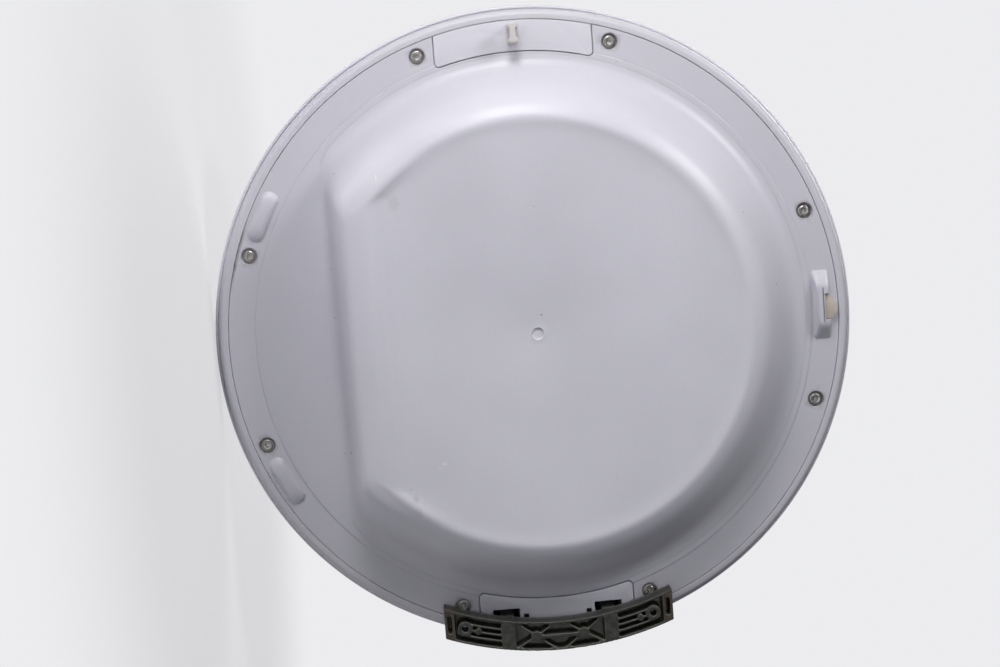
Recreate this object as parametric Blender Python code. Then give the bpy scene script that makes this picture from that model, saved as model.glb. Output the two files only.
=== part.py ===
"""Round tumble-dryer door with its die-cast hinge bracket.

Units are metres.  The bracket's mounting face lies in the plane Y = 0 with the origin at its middle,
+Z is up along the hinge, and +Y points out of the machine towards the user.  The door lies on the -X
side of the hinge.  Door pieces are drawn about the door's own centre, with the face of the inner
panel's rim at Y = 0 and the drum side towards -Y, and are then placed by DOOR_CENTRE.
"""

import math

import bmesh
import bpy
from mathutils import Matrix, Vector

# General clearances
SEAT_GAP = 0.0003
SEAM_GAP = 0.0006

# Outer cover
DOOR_RADIUS = 0.240
COVER_WALL = 0.0025
COVER_RIM_Y = 0.0135
COVER_WIDEST_Y = 0.0200
COVER_FRONT_Y = 0.0330
COVER_CORNER = 0.0140
COVER_CROWN = 0.0070
LEDGE_WIDTH = 0.0035

# Door ring
SEAM_INSET = 0.0113
RIM_GAP = 0.0010
RING_WALL = 0.0022
RING_LIP = 0.0005
RING_LIP_WIDTH = 0.0030
RING_SHOULDER_Y = 0.0110
RING_DEPTH = 0.0250
FLANGE_WIDTH = 0.0395

# Inner panel
PANEL_WALL = 0.0025
STEP_INSET = 0.0202
STEP_RISE = 0.0006
APRON_WIDTH = 0.0048
CHORD_INSET = 0.0875
FOOT_CORNER = 0.0480
FLANK_WIDTH = 0.0437
CHORD_FLANK_WIDTH = 0.0215
CREST_CORNER = 0.0140
CREST_RISE = 0.0525
SHELF_WIDTH = 0.0022
CHORD_SHELF_WIDTH = 0.0125
SHELF_CORNER = 0.0180
SHELF_SLOPE = 0.14
BANK_WIDTH = 0.0148
CHORD_BANK_WIDTH = 0.0155
DISH_CORNER = 0.0220
DISH_EDGE_RISE = 0.0472
DISH_CENTRE_RISE = 0.0400
DIMPLE_RADIUS = 0.0045
DIMPLE_DEPTH = 0.0008

# Panel screws
SCREW_INSET = 0.0095
SCREW_MARGIN = 0.0130
SCREW_RECESS_RADIUS = 0.0060
SCREW_RECESS_DEPTH = 0.0030
SCREW_HEAD_RADIUS = 0.0047
SCREW_HEAD_HEIGHT = 0.0024
SCREW_SHANK_RADIUS = 0.0020
SCREW_LENGTH = 0.0140
SCREW_DRIVE_RADIUS = 0.0016
SCREW_DRIVE_DEPTH = 0.0015
CUP_WALL = 0.0020
POST_WALL = 0.0032

# Edge plates of the hinge side and of the catch side
PLATE_HALF_WIDTH = 0.0582
PLATE_OVERLAP = 0.0025
PLATE_CORNER = 0.0030
CLIP_INSET = 0.0052
CLIP_WIDTH = 0.0050
CLIP_THICKNESS = 0.0018
CLIP_REACH = 0.0032
CLIP_BARB = 0.0007

# Hinge
HINGE_INSET = 0.0115
HINGE_Y = 0.0170
ARM_OFFSET = 0.0388
ARM_WIDTH = 0.0104
ARM_THROAT = 0.0072
NECK_THICKNESS = 0.0050
EYE_RADIUS = 0.0048
PIN_RADIUS = 0.0025
PIN_CLEARANCE = 0.00005
BUSH_WALL = 0.0008
EAR_THICKNESS = 0.0040
EAR_SIDE_GAP = 0.0004
EAR_RADIUS = 0.0045
SLOT_SIDE_GAP = 0.0007
SLOT_REACH = 0.0164
SLOT_OVERLAP = 0.0047
PEEP_OFFSET = 0.0240
PEEP_SIZE = 0.0040
PEEP_REACH = 0.0117

# Hinge carrier inside the door
CARRIER_RISE = 0.0070
CARRIER_THICKNESS = 0.0030
CARRIER_REACH = 0.0255
CARRIER_EDGE_GAP = 0.0035
CARRIER_MARGIN = 0.0020
CARRIER_SCREW_REACH = 0.0185
CARRIER_SCREW_SPACING = 0.0230
CARRIER_SCREW_RADIUS = 0.0020
CARRIER_SCREW_LENGTH = 0.0058
CARRIER_HEAD_RADIUS = 0.0042
CARRIER_HEAD_HEIGHT = 0.0022
CARRIER_POST_RADIUS = 0.0055

# Hinge bracket on the machine side
BRACKET_OVERLAP = 0.0200
BRACKET_OVERHANG = 0.0020
BRACKET_HALF_HEIGHT = 0.0860
BRACKET_GAP = 0.0025
BRACKET_DEPTH = 0.0155
BRACKET_FLOOR = 0.0020
BRACKET_WALL = 0.0018
BRACKET_RIB = 0.0016
BRACKET_RIB_DROP = 0.0004
BRACKET_BOSS_OFFSET = 0.0180
BRACKET_BOSS_RADIUS = 0.0042
BRACKET_SCREW_OFFSET = 0.0710
BRACKET_SCREW_BOSS_RADIUS = 0.0058
BRACKET_SCREW_HOLE_RADIUS = 0.0025
BRACKET_EJECTOR_OFFSET = 0.0612
BRACKET_EJECTOR_RADIUS = 0.0026
BRACKET_LOBE_WIDTH = 0.0075
BRACKET_POCKET_WIDTH = 0.0032
BRACKET_POCKET_LENGTH = 0.0130

# Catch peg
PEG_INSET = 0.0105
PEG_LENGTH = 0.0144
PEG_WIDTH = 0.0080
PEG_WEB = 0.0042
PEG_FLANGE = 0.0026
PEG_HEIGHT = 0.0150
PEG_SCREW_RADIUS = 0.0015
PEG_SCREW_LENGTH = 0.0130
PEG_SCREW_HEAD_RADIUS = 0.0032
PEG_SCREW_HEAD_HEIGHT = 0.0020

# Support pads beside the flat of the bulge
PAD_SHIFT = 0.0307
PAD_INSET = 0.0101
PAD_LENGTH = 0.0380
PAD_WIDTH = 0.0118
PAD_RISE = 0.0046

# Latch boss, tongue, guide and spring
BOSS_INSET = 0.0125
BOSS_LENGTH = 0.0520
BOSS_WIDTH = 0.0112
BOSS_RISE = 0.0070
BOSS_RAMP = 0.0110
BOSS_SIDE_DRAFT = 0.0006
BOSS_WALL = 0.0017
TONGUE_CENTRE_X = 0.0012
TONGUE_WIDTH = 0.0188
TONGUE_REACH = 0.0098
TONGUE_NOSE_SHIFT = 0.0035
TONGUE_THICKNESS = 0.0036
TONGUE_SIDE_GAP = 0.0005
TONGUE_TRAVEL = 0.0040
TONGUE_FLOOR_GAP = 0.0012
TAIL_THICKNESS = 0.0038
TAIL_LENGTH = 0.0155
GUIDE_WALL = 0.0018
GUIDE_HALF_WIDTH = 0.0215
GUIDE_SCREW_X = 0.0175
GUIDE_SCREW_INSET = 0.0107
GUIDE_SCREW_RADIUS = 0.0014
GUIDE_SCREW_LENGTH = 0.0052
GUIDE_POST_RADIUS = 0.0034
GUIDE_MARGIN = 0.0015
SPRING_RADIUS = 0.0014
SPRING_WIRE_RADIUS = 0.00035
SPRING_LENGTH = 0.0112
SPRING_TURNS = 7

# Handle at the catch side of the cover
HANDLE_INSET = 0.0190
HANDLE_WIDTH = 0.0260
HANDLE_SPREAD = math.radians(12.5)
HANDLE_DEPTH = 0.0145
HANDLE_WALL = 0.0022
HANDLE_LIP = 0.0030
HANDLE_LIP_THICKNESS = 0.0014
HANDLE_GRIP = 0.0070

# Places that follow from the sizes above
SEAM_RADIUS = DOOR_RADIUS - SEAM_INSET
STEP_RADIUS = SEAM_RADIUS - STEP_INSET
FOOT_ARC = STEP_RADIUS - APRON_WIDTH
FOOT_CHORD = DOOR_RADIUS - CHORD_INSET
CREST_ARC = FOOT_ARC - FLANK_WIDTH
CREST_CHORD = FOOT_CHORD - CHORD_FLANK_WIDTH
SHELF_ARC = CREST_ARC - SHELF_WIDTH
SHELF_CHORD = CREST_CHORD - CHORD_SHELF_WIDTH
DISH_ARC = SHELF_ARC - BANK_WIDTH
DISH_CHORD = SHELF_CHORD - CHORD_BANK_WIDTH
BRACKET_INNER_RADIUS = DOOR_RADIUS - BRACKET_OVERLAP
BRACKET_OUTER_RADIUS = DOOR_RADIUS + BRACKET_OVERHANG
BRACKET_MID_RADIUS = (BRACKET_INNER_RADIUS + BRACKET_OUTER_RADIUS) / 2
SEAM_PLANE_Y = BRACKET_DEPTH + BRACKET_GAP
DOOR_CENTRE = Vector((-BRACKET_MID_RADIUS, SEAM_PLANE_Y, 0.0))
RING_RADIUS = DOOR_RADIUS - COVER_WALL - RIM_GAP
FLANGE_INNER_RADIUS = RING_RADIUS - FLANGE_WIDTH
RING_SEAM_RADIUS = SEAM_RADIUS + SEAM_GAP / 2
PANEL_RADIUS = SEAM_RADIUS - SEAM_GAP / 2
FLANGE_FRONT_Y = PANEL_WALL + SEAT_GAP
FLANGE_BACK_Y = FLANGE_FRONT_Y + RING_WALL
LEDGE_Y = RING_DEPTH + SEAT_GAP
COVER_SHOULDER_RADIUS = DOOR_RADIUS - COVER_CORNER
SCREW_CIRCLE = SEAM_RADIUS - SCREW_INSET
SCREW_SPREAD = math.asin((PLATE_HALF_WIDTH + SCREW_MARGIN) / SCREW_CIRCLE)
PLATE_INNER_RADIUS = STEP_RADIUS - PLATE_OVERLAP
CLIP_OFFSET = PLATE_HALF_WIDTH - CLIP_INSET
CUP_BACK_Y = SCREW_RECESS_DEPTH + PANEL_WALL
CUP_RADIUS = SCREW_RECESS_RADIUS + CUP_WALL
BRACKET_TOP_Y = -BRACKET_GAP
BRACKET_SEAT_Y = -BRACKET_GAP - BRACKET_DEPTH
HINGE_X = DOOR_RADIUS - HINGE_INSET
NECK_OUTER_X = HINGE_X - ARM_THROAT
NECK_INNER_X = NECK_OUTER_X - NECK_THICKNESS
SLOT_WIDTH = ARM_WIDTH + 2 * (EAR_SIDE_GAP + EAR_THICKNESS + SLOT_SIDE_GAP)
SLOT_START_X = HINGE_X - SLOT_REACH
SLOT_DEPTH_Y = HINGE_Y + SLOT_OVERLAP
PEEP_START_X = HINGE_X - PEEP_REACH
CARRIER_Y = HINGE_Y + CARRIER_RISE
CARRIER_INNER_X = HINGE_X - CARRIER_REACH
CARRIER_SCREW_X = HINGE_X - CARRIER_SCREW_REACH
BUSH_RADIUS = PIN_RADIUS + PIN_CLEARANCE + BUSH_WALL
EAR_OFFSET = ARM_WIDTH / 2 + EAR_SIDE_GAP + EAR_THICKNESS / 2
CARRIER_HALF_HEIGHT = ARM_OFFSET + EAR_OFFSET + EAR_THICKNESS / 2 + CARRIER_MARGIN
HINGE_AXIS = DOOR_CENTRE + Vector((HINGE_X, HINGE_Y, 0.0))
PEG_RADIUS_FROM_CENTRE = SEAM_RADIUS - PEG_INSET
PAD_CIRCLE = SEAM_RADIUS - PAD_INSET
PAD_SPREAD = SCREW_SPREAD + PAD_SHIFT / PAD_CIRCLE
BOSS_CENTRE_Z = SEAM_RADIUS - BOSS_INSET
TONGUE_FLOOR_Y = -TONGUE_FLOOR_GAP
CAVITY_INNER_Z = BOSS_CENTRE_Z - BOSS_WIDTH / 2 + BOSS_WALL + BOSS_SIDE_DRAFT
TONGUE_BACK_Z = CAVITY_INNER_Z + SEAT_GAP + TONGUE_TRAVEL
CAVITY_OUTER_Z = BOSS_CENTRE_Z + BOSS_WIDTH / 2 - BOSS_WALL - BOSS_SIDE_DRAFT
GUIDE_SCREW_Z = BOSS_CENTRE_Z - GUIDE_SCREW_INSET
TONGUE_WEB_END_Z = CAVITY_OUTER_Z - SEAT_GAP
TAIL_FRONT_Y = PANEL_WALL + 2 * SEAT_GAP
TAIL_BACK_Y = TAIL_FRONT_Y + TAIL_THICKNESS
TAIL_END_Z = TONGUE_WEB_END_Z - TAIL_LENGTH
GUIDE_Y = TAIL_BACK_Y + SEAT_GAP
GUIDE_STOP_Z = TAIL_END_Z - SPRING_LENGTH - 2 * SEAT_GAP
CARRIER_RADIUS = RING_RADIUS - LEDGE_WIDTH - CARRIER_EDGE_GAP
HANDLE_OUTER_RADIUS = DOOR_RADIUS - HANDLE_INSET
HANDLE_INNER_RADIUS = HANDLE_OUTER_RADIUS - HANDLE_WIDTH
HANDLE_MID_RADIUS = (HANDLE_INNER_RADIUS + HANDLE_OUTER_RADIUS) / 2

# Facets of round shapes, and the flank of the bulge as shares of its arc, chord and rise
ROUND_STEPS = 68
SMALL_STEPS = 14
PIN_STEPS = 24
ARC_STEPS = 46
CORNER_STEPS = 6
CHORD_STEPS = 6
FLANK_STEPS = ((0.0, 0.0, 0.0), (0.11, 0.14, 0.02), (0.22, 0.28, 0.07), (0.31, 0.39, 0.15),
               (0.39, 0.48, 0.26), (0.61, 0.62, 0.59), (0.76, 0.71, 0.81), (0.83, 0.76, 0.90),
               (0.91, 0.85, 0.965), (1.0, 1.0, 1.0))


def clear_scene():
    """Empty the file without closing it."""
    for obj in list(bpy.data.objects):
        bpy.data.objects.remove(obj, do_unlink=True)


def plastic(name, colour, roughness, metallic=0.0):
    """Principled material of one piece."""
    material = bpy.data.materials.new(name)
    material.use_nodes = True
    shader = material.node_tree.nodes["Principled BSDF"]
    shader.inputs["Base Color"].default_value = (*colour, 1.0)
    shader.inputs["Roughness"].default_value = roughness
    shader.inputs["Metallic"].default_value = metallic
    material.diffuse_color = (*colour, 1.0)
    return material


WHITE = (0.80, 0.80, 0.83)
WARM_WHITE = (0.74, 0.72, 0.68)
IVORY = (0.66, 0.60, 0.48)
ZINC = (0.14, 0.15, 0.13)
STEEL = (0.55, 0.56, 0.56)
NYLON = (0.70, 0.68, 0.60)


# Frames and objects

def empty(name, location):
    """Guide that carries the pieces of one moving body."""
    guide = bpy.data.objects.new(name, None)
    guide.location = location
    guide.empty_display_size = 0.03
    bpy.context.collection.objects.link(guide)
    return guide


def place(name, mesh_data, material, parent=None, location=(0.0, 0.0, 0.0)):
    """Turn a finished bmesh into a named object with its own material."""
    bmesh.ops.remove_doubles(mesh_data, verts=mesh_data.verts, dist=1e-7)
    bmesh.ops.recalc_face_normals(mesh_data, faces=mesh_data.faces)
    mesh = bpy.data.meshes.new(name)
    mesh_data.to_mesh(mesh)
    mesh_data.free()
    mesh.materials.append(material)
    mesh.shade_smooth()
    mesh.set_sharp_from_angle(angle=math.radians(35.0))
    obj = bpy.data.objects.new(name, mesh)
    obj.location = location
    obj.parent = parent
    bpy.context.collection.objects.link(obj)
    return obj


def tool(target, name, mesh_data, operation):
    """Hidden helper solid that is cut from, or joined to, a piece by a Boolean modifier."""
    bmesh.ops.recalc_face_normals(mesh_data, faces=mesh_data.faces)
    mesh = bpy.data.meshes.new(name)
    mesh_data.to_mesh(mesh)
    mesh_data.free()
    helper = bpy.data.objects.new(name, mesh)
    helper.location = target.location
    helper.parent = target.parent
    helper.hide_render = True
    helper.display_type = "WIRE"
    bpy.context.collection.objects.link(helper)
    modifier = target.modifiers.new(name, "BOOLEAN")
    modifier.operation = operation
    modifier.solver = "EXACT"
    modifier.object = helper
    return helper


def cut(target, name, mesh_data):
    """Cut a helper solid out of a piece."""
    return tool(target, name, mesh_data, "DIFFERENCE")


def join(target, name, mesh_data):
    """Fuse a helper solid to a piece."""
    return tool(target, name, mesh_data, "UNION")


# Solids

def add_prism(mesh_data, outline, low, high, axis="Y"):
    """Extrude a closed outline: (x, z) pairs along Y, or (x, y) pairs along Z."""
    if axis == "Y":
        base = [mesh_data.verts.new((a, low, b)) for a, b in outline]
        shift = Vector((0.0, high - low, 0.0))
    else:
        base = [mesh_data.verts.new((a, b, low)) for a, b in outline]
        shift = Vector((0.0, 0.0, high - low))
    face = mesh_data.faces.new(base)
    grown = bmesh.ops.extrude_face_region(mesh_data, geom=[face])
    moved = [item for item in grown["geom"] if isinstance(item, bmesh.types.BMVert)]
    bmesh.ops.translate(mesh_data, verts=moved, vec=shift)
    return mesh_data


def prism(outline, low, high, axis="Y"):
    """One extruded outline."""
    return add_prism(bmesh.new(), outline, low, high, axis)


def add_box(mesh_data, low, high):
    """Box between two corners."""
    outline = [(low[0], low[2]), (high[0], low[2]), (high[0], high[2]), (low[0], high[2])]
    return add_prism(mesh_data, outline, low[1], high[1])


def box(low, high):
    """One box."""
    return add_box(bmesh.new(), low, high)


def circle_points(centre, radius, steps, start=0.0, sweep=2 * math.pi):
    """Points on an arc; a full turn leaves out the repeated last point."""
    count = steps if sweep >= 2 * math.pi - 1e-9 else steps + 1
    turn = sweep / steps
    return [(centre[0] + radius * math.cos(start + turn * i), centre[1] + radius * math.sin(start + turn * i))
            for i in range(count)]


def add_rod(mesh_data, centre, radius, low, high, axis="Y", steps=SMALL_STEPS):
    """Round rod along Y about (x, z), or along Z about (x, y)."""
    return add_prism(mesh_data, circle_points(centre, radius, steps), low, high, axis)


def rod(centre, radius, low, high, axis="Y", steps=SMALL_STEPS):
    """One round rod."""
    return add_rod(bmesh.new(), centre, radius, low, high, axis, steps)


def revolve(profile, steps=ROUND_STEPS):
    """Spin a closed (radius, y) profile about the door's own axis."""
    mesh_data = bmesh.new()
    loop = [mesh_data.verts.new((radius, y, 0.0)) for radius, y in profile]
    edges = [mesh_data.edges.new((a, b)) for a, b in zip(loop, loop[1:] + loop[:1])]
    bmesh.ops.spin(mesh_data, geom=loop + edges, cent=(0, 0, 0), axis=(0, 1, 0),
                   angle=2 * math.pi, steps=steps, use_merge=True, use_duplicate=False)
    bmesh.ops.remove_doubles(mesh_data, verts=mesh_data.verts, dist=1e-6)
    flat = [edge for edge in mesh_data.edges if edge.calc_length() < 1e-7]
    bmesh.ops.dissolve_degenerate(mesh_data, dist=1e-7, edges=flat)
    return mesh_data


def stacked(outlines, heights):
    """Closed solid through like outlines, each at its own Y."""
    mesh_data = bmesh.new()
    rings = [[mesh_data.verts.new((x, y, z)) for x, z in outline] for outline, y in zip(outlines, heights)]
    for lower, upper in zip(rings, rings[1:]):
        for i in range(len(lower)):
            j = (i + 1) % len(lower)
            mesh_data.faces.new((lower[i], lower[j], upper[j], upper[i]))
    mesh_data.faces.new(rings[0])
    mesh_data.faces.new(rings[-1])
    return mesh_data


def sector(inner, outer, middle, spread, steps=12):
    """Outline of a ring sector about the door's centre."""
    outside = circle_points((0.0, 0.0), outer, steps, middle - spread, 2 * spread)
    inside = circle_points((0.0, 0.0), inner, steps, middle - spread, 2 * spread)
    return outside + inside[::-1]


def polar(radius, angle):
    """Point at an angle from +X towards +Z."""
    return (radius * math.cos(angle), radius * math.sin(angle))


def screw_places():
    """Centres of the eight panel screws, two about each axis of the door."""
    return [polar(SCREW_CIRCLE, quarter * math.pi / 2 + side * SCREW_SPREAD)
            for quarter in range(4) for side in (-1, 1)]


# Inner panel

def bulge_outline(radius, chord, corner):
    """D-shaped outline: an arc over the top, a straight chord below, and a fillet between them."""
    across = corner - chord
    along = math.sqrt((radius - corner) ** 2 - across ** 2)
    lean = math.atan2(across, along)
    arc = circle_points((0.0, 0.0), radius, ARC_STEPS, lean, math.pi - 2 * lean)
    left = circle_points((-along, across), corner, CORNER_STEPS, math.pi - lean, math.pi / 2 + lean)
    right = [(-x, z) for x, z in reversed(left)]
    chord_line = [(along * (2 * i / CHORD_STEPS - 1), -chord) for i in range(1, CHORD_STEPS)]
    return arc + left[1:] + chord_line + right[:-1]


def round_outline(radius):
    """Circle whose points answer to those of the D-shaped outlines."""
    across = FOOT_CORNER - FOOT_CHORD
    lean = math.asin(across / (FOOT_ARC - FOOT_CORNER))
    rest = 2 * CORNER_STEPS + CHORD_STEPS
    arc = circle_points((0.0, 0.0), radius, ARC_STEPS, lean, math.pi - 2 * lean)
    below = circle_points((0.0, 0.0), radius, rest, math.pi - lean, math.pi + 2 * lean)
    return arc + below[1:-1]


def dish_rise(distance):
    """Height of the shallow conical dish at a distance from the centre."""
    share = min(distance / DISH_ARC, 1.0)
    return DISH_CENTRE_RISE + (DISH_EDGE_RISE - DISH_CENTRE_RISE) * share


def between(start, end, share):
    """Value part of the way from one size to another."""
    return start + (end - start) * share


def panel_rings():
    """Outlines of the drum-side skin with the height of each of their points, from rim to centre."""
    rings = [(round_outline(PANEL_RADIUS), 0.0), (round_outline(STEP_RADIUS), 0.0),
             (round_outline(STEP_RADIUS - STEP_RISE), STEP_RISE)]
    for arc_share, chord_share, rise_share in FLANK_STEPS:
        outline = bulge_outline(between(FOOT_ARC, CREST_ARC, arc_share),
                                between(FOOT_CHORD, CREST_CHORD, chord_share),
                                between(FOOT_CORNER, CREST_CORNER, arc_share))
        rings.append((outline, between(STEP_RISE, CREST_RISE, rise_share)))
    levels = [[rise] * len(outline) for outline, rise in rings]
    outlines = [outline for outline, _ in rings]
    crest = outlines[-1]
    for share in (0.45, 1.0):
        outline = bulge_outline(between(CREST_ARC, SHELF_ARC, share),
                                between(CREST_CHORD, SHELF_CHORD, share),
                                between(CREST_CORNER, SHELF_CORNER, share))
        outlines.append(outline)
        levels.append([CREST_RISE - SHELF_SLOPE * math.dist(a, b) for a, b in zip(crest, outline)])
    shelf = levels[-1]
    for share in (0.3, 0.65, 1.0):
        outline = bulge_outline(between(SHELF_ARC, DISH_ARC, share),
                                between(SHELF_CHORD, DISH_CHORD, share),
                                between(SHELF_CORNER, DISH_CORNER, share))
        outlines.append(outline)
        levels.append([between(high, dish_rise(math.hypot(*point)), share ** 2 * (3 - 2 * share))
                       for high, point in zip(shelf, outline)])
    edge = outlines[-1]
    for share in (0.66, 0.33):
        outline = [(x * share, z * share) for x, z in edge]
        outlines.append(outline)
        levels.append([dish_rise(math.hypot(*point)) for point in outline])
    for radius, rise in ((DIMPLE_RADIUS, dish_rise(DIMPLE_RADIUS)),
                         (DIMPLE_RADIUS * 0.6, DISH_CENTRE_RISE - DIMPLE_DEPTH)):
        outline = round_outline(radius)
        outlines.append(outline)
        levels.append([rise] * len(outline))
    return outlines, levels


def panel_surface():
    """Drum-side skin of the panel as an open mesh."""
    mesh_data = bmesh.new()
    rings = []
    for outline, rises in zip(*panel_rings()):
        rings.append([mesh_data.verts.new((x, -rise, z)) for (x, z), rise in zip(outline, rises)])
    for outer, inner in zip(rings, rings[1:]):
        for i in range(len(outer)):
            j = (i + 1) % len(outer)
            mesh_data.faces.new((outer[i], outer[j], inner[j], inner[i]))
    mesh_data.faces.new(rings[-1])
    return mesh_data


def plate_outline(grow, outer):
    """Outline of an edge plate on the +X side: arcs about the door's centre and rounded inner corners."""
    half = PLATE_HALF_WIDTH + grow
    inner = PLATE_INNER_RADIUS - grow
    corner = PLATE_CORNER + grow
    centre_z = half - corner
    centre_x = math.sqrt((inner + corner) ** 2 - centre_z ** 2)
    lean = math.atan2(centre_z, centre_x)
    upper = circle_points((centre_x, centre_z), corner, 4, math.pi + lean, -(math.pi / 2 + lean))
    side = math.asin(half / outer)
    outside = circle_points((0.0, 0.0), outer, 12, side, -2 * side)
    inside = circle_points((0.0, 0.0), inner, 10, -lean, 2 * lean)
    lower = [(x, -z) for x, z in reversed(upper)]
    return inside[1:-1] + upper + outside + lower


def stadium(length, width, steps=5):
    """Long outline with round ends, along the first axis."""
    half = length / 2 - width / 2
    right = circle_points((half, 0.0), width / 2, steps, -math.pi / 2, math.pi)
    left = circle_points((-half, 0.0), width / 2, steps, math.pi / 2, math.pi)
    return right + left


def pad_solid(angle):
    """Rounded support pad on the panel's rim, its long side along the edge."""
    turn = Matrix.Rotation(angle + math.pi / 2, 2)
    centre = Vector(polar(PAD_CIRCLE, angle))
    levels = ((0.0, -PANEL_WALL / 2), (0.0, PAD_RISE * 0.25), (0.0012, PAD_RISE * 0.65), (0.0034, PAD_RISE))
    outlines = []
    for inset, _ in levels:
        outline = stadium(PAD_LENGTH - 2 * inset, PAD_WIDTH - 2 * inset)
        outlines.append([tuple(centre + turn @ Vector(point)) for point in outline])
    return stacked(outlines, [-rise for _, rise in levels])


def boss_outline(wall, level):
    """Rectangle of the latch boss at a level, shrunk by a wall; the ends are ramps."""
    share = level / BOSS_RISE
    half = BOSS_LENGTH / 2 - BOSS_RAMP * share - wall
    side = BOSS_WIDTH / 2 - BOSS_SIDE_DRAFT * share - wall
    middle = BOSS_CENTRE_Z
    return [(-half, middle - side), (half, middle - side), (half, middle + side), (-half, middle + side)]


def make_inner_panel(material, parent, location):
    """Moulded panel: rim with screw cups, plate notches, pads, latch boss and the D-shaped bulge."""
    panel = place("inner_panel", panel_surface(), material, parent, location)
    if panel.data.polygons[0].normal.y > 0:
        panel.data.flip_normals()
    shell = panel.modifiers.new("wall", "SOLIDIFY")
    shell.thickness = PANEL_WALL
    shell.offset = -1.0
    shell.use_even_offset = True
    for index, centre in enumerate(screw_places()):
        join(panel, f"cup_{index}", rod(centre, CUP_RADIUS, PANEL_WALL / 2, CUP_BACK_Y, steps=20))
    for side in (-1, 1):
        join(panel, f"pad_{side}", pad_solid(-math.pi / 2 + side * PAD_SPREAD))
        post = rod((side * GUIDE_SCREW_X, GUIDE_SCREW_Z), GUIDE_POST_RADIUS, PANEL_WALL / 2,
                   GUIDE_Y - SEAT_GAP)
        join(panel, f"guide_post_{side}", post)
    join(panel, "latch_boss", stacked([boss_outline(0.0, 0.0), boss_outline(0.0, 0.0),
                                       boss_outline(0.0, BOSS_RISE)],
                                      [PANEL_WALL / 2, 0.0, -BOSS_RISE]))
    ceiling = BOSS_RISE - BOSS_WALL
    cut(panel, "boss_cavity", stacked([boss_outline(BOSS_WALL, 0.0), boss_outline(BOSS_WALL, 0.0),
                                       boss_outline(BOSS_WALL, ceiling)],
                                      [2 * PANEL_WALL, 0.0, -ceiling]))
    mouth = TONGUE_WIDTH / 2 + TONGUE_SIDE_GAP
    cut(panel, "tongue_mouth", box((TONGUE_CENTRE_X - mouth, -2 * BOSS_RISE, TONGUE_BACK_Z + BOSS_WALL),
                                   (TONGUE_CENTRE_X + mouth, TONGUE_FLOOR_Y + SEAT_GAP,
                                    BOSS_CENTRE_Z + BOSS_WIDTH)))
    recesses = bmesh.new()
    holes = bmesh.new()
    for centre in screw_places():
        add_rod(recesses, centre, SCREW_RECESS_RADIUS, -PANEL_WALL, SCREW_RECESS_DEPTH, steps=20)
        add_rod(holes, centre, SCREW_SHANK_RADIUS + SEAT_GAP, PANEL_WALL / 2, 2 * CUP_BACK_Y)
    cut(panel, "screw_recesses", recesses)
    cut(panel, "screw_holes", holes)
    pilots = bmesh.new()
    for side in (-1, 1):
        add_rod(pilots, (side * GUIDE_SCREW_X, GUIDE_SCREW_Z), GUIDE_SCREW_RADIUS + SEAT_GAP,
                GUIDE_Y - SEAT_GAP - GUIDE_SCREW_LENGTH, 2 * GUIDE_Y)
    cut(panel, "guide_pilots", pilots)
    notch = plate_outline(SEAM_GAP, PANEL_RADIUS + 2 * PANEL_WALL)
    cut(panel, "hinge_notch", prism(notch, -PANEL_WALL, 2 * PANEL_WALL))
    cut(panel, "catch_notch", prism([(-x, z) for x, z in notch], -PANEL_WALL, 2 * PANEL_WALL))
    return panel


# Ring and outer cover

def make_door_ring(material, parent, location):
    """Ring between the panel and the cover: lip, rolled shoulder, side wall and inner flange."""
    lip_end = RING_SEAM_RADIUS + RING_LIP_WIDTH
    shoulder_width = RING_RADIUS - lip_end
    shoulder_height = RING_SHOULDER_Y + RING_LIP
    shoulder = [(lip_end + shoulder_width * math.sin(math.pi / 2 * i / 6),
                 -RING_LIP + shoulder_height * (1 - math.cos(math.pi / 2 * i / 6))) for i in range(7)]
    profile = [(FLANGE_INNER_RADIUS, FLANGE_FRONT_Y), (RING_SEAM_RADIUS, FLANGE_FRONT_Y),
               (RING_SEAM_RADIUS, RING_LIP), (RING_SEAM_RADIUS + RING_LIP, -RING_LIP)]
    profile += shoulder
    profile += [(RING_RADIUS, RING_DEPTH), (RING_RADIUS - RING_WALL, RING_DEPTH),
                (RING_RADIUS - RING_WALL, RING_SHOULDER_Y),
                (RING_RADIUS - 1.6 * RING_WALL, FLANGE_BACK_Y), (FLANGE_INNER_RADIUS, FLANGE_BACK_Y)]
    ring = place("door_ring", revolve(profile), material, parent, location)
    cups = bmesh.new()
    for centre in screw_places():
        add_rod(cups, centre, CUP_RADIUS + SEAT_GAP, 0.0, 2 * FLANGE_BACK_Y, steps=20)
    cut(ring, "cup_holes", cups)
    window_half = GUIDE_HALF_WIDTH + GUIDE_MARGIN
    cut(ring, "latch_window", box((-window_half, 0.0, GUIDE_STOP_Z - GUIDE_WALL - GUIDE_MARGIN),
                                  (window_half, 2 * FLANGE_BACK_Y, TONGUE_WEB_END_Z + GUIDE_MARGIN)))
    clips = bmesh.new()
    for side in (-1, 1):
        for end in (-1, 1):
            low, high = clip_box(side, end, 2 * SEAT_GAP)
            add_box(clips, (low[0], 0.0, low[2]), (high[0], 2 * FLANGE_BACK_Y, high[2]))
    cut(ring, "clip_slots", clips)
    screw_hole = rod((-PEG_RADIUS_FROM_CENTRE, 0.0), PEG_SCREW_RADIUS + SEAT_GAP, 0.0, 2 * FLANGE_BACK_Y)
    cut(ring, "peg_screw_hole", screw_hole)
    cut(ring, "arm_slots", arm_slots())
    return ring


def arm_slots():
    """Two slots from the drum side through the rim, in which the hinge arms swing."""
    slots = bmesh.new()
    for side in (-1, 1):
        middle = side * ARM_OFFSET
        add_box(slots, (SLOT_START_X, -2 * PANEL_WALL, middle - SLOT_WIDTH / 2),
                (DOOR_RADIUS + COVER_WALL, SLOT_DEPTH_Y, middle + SLOT_WIDTH / 2))
    return slots


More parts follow.
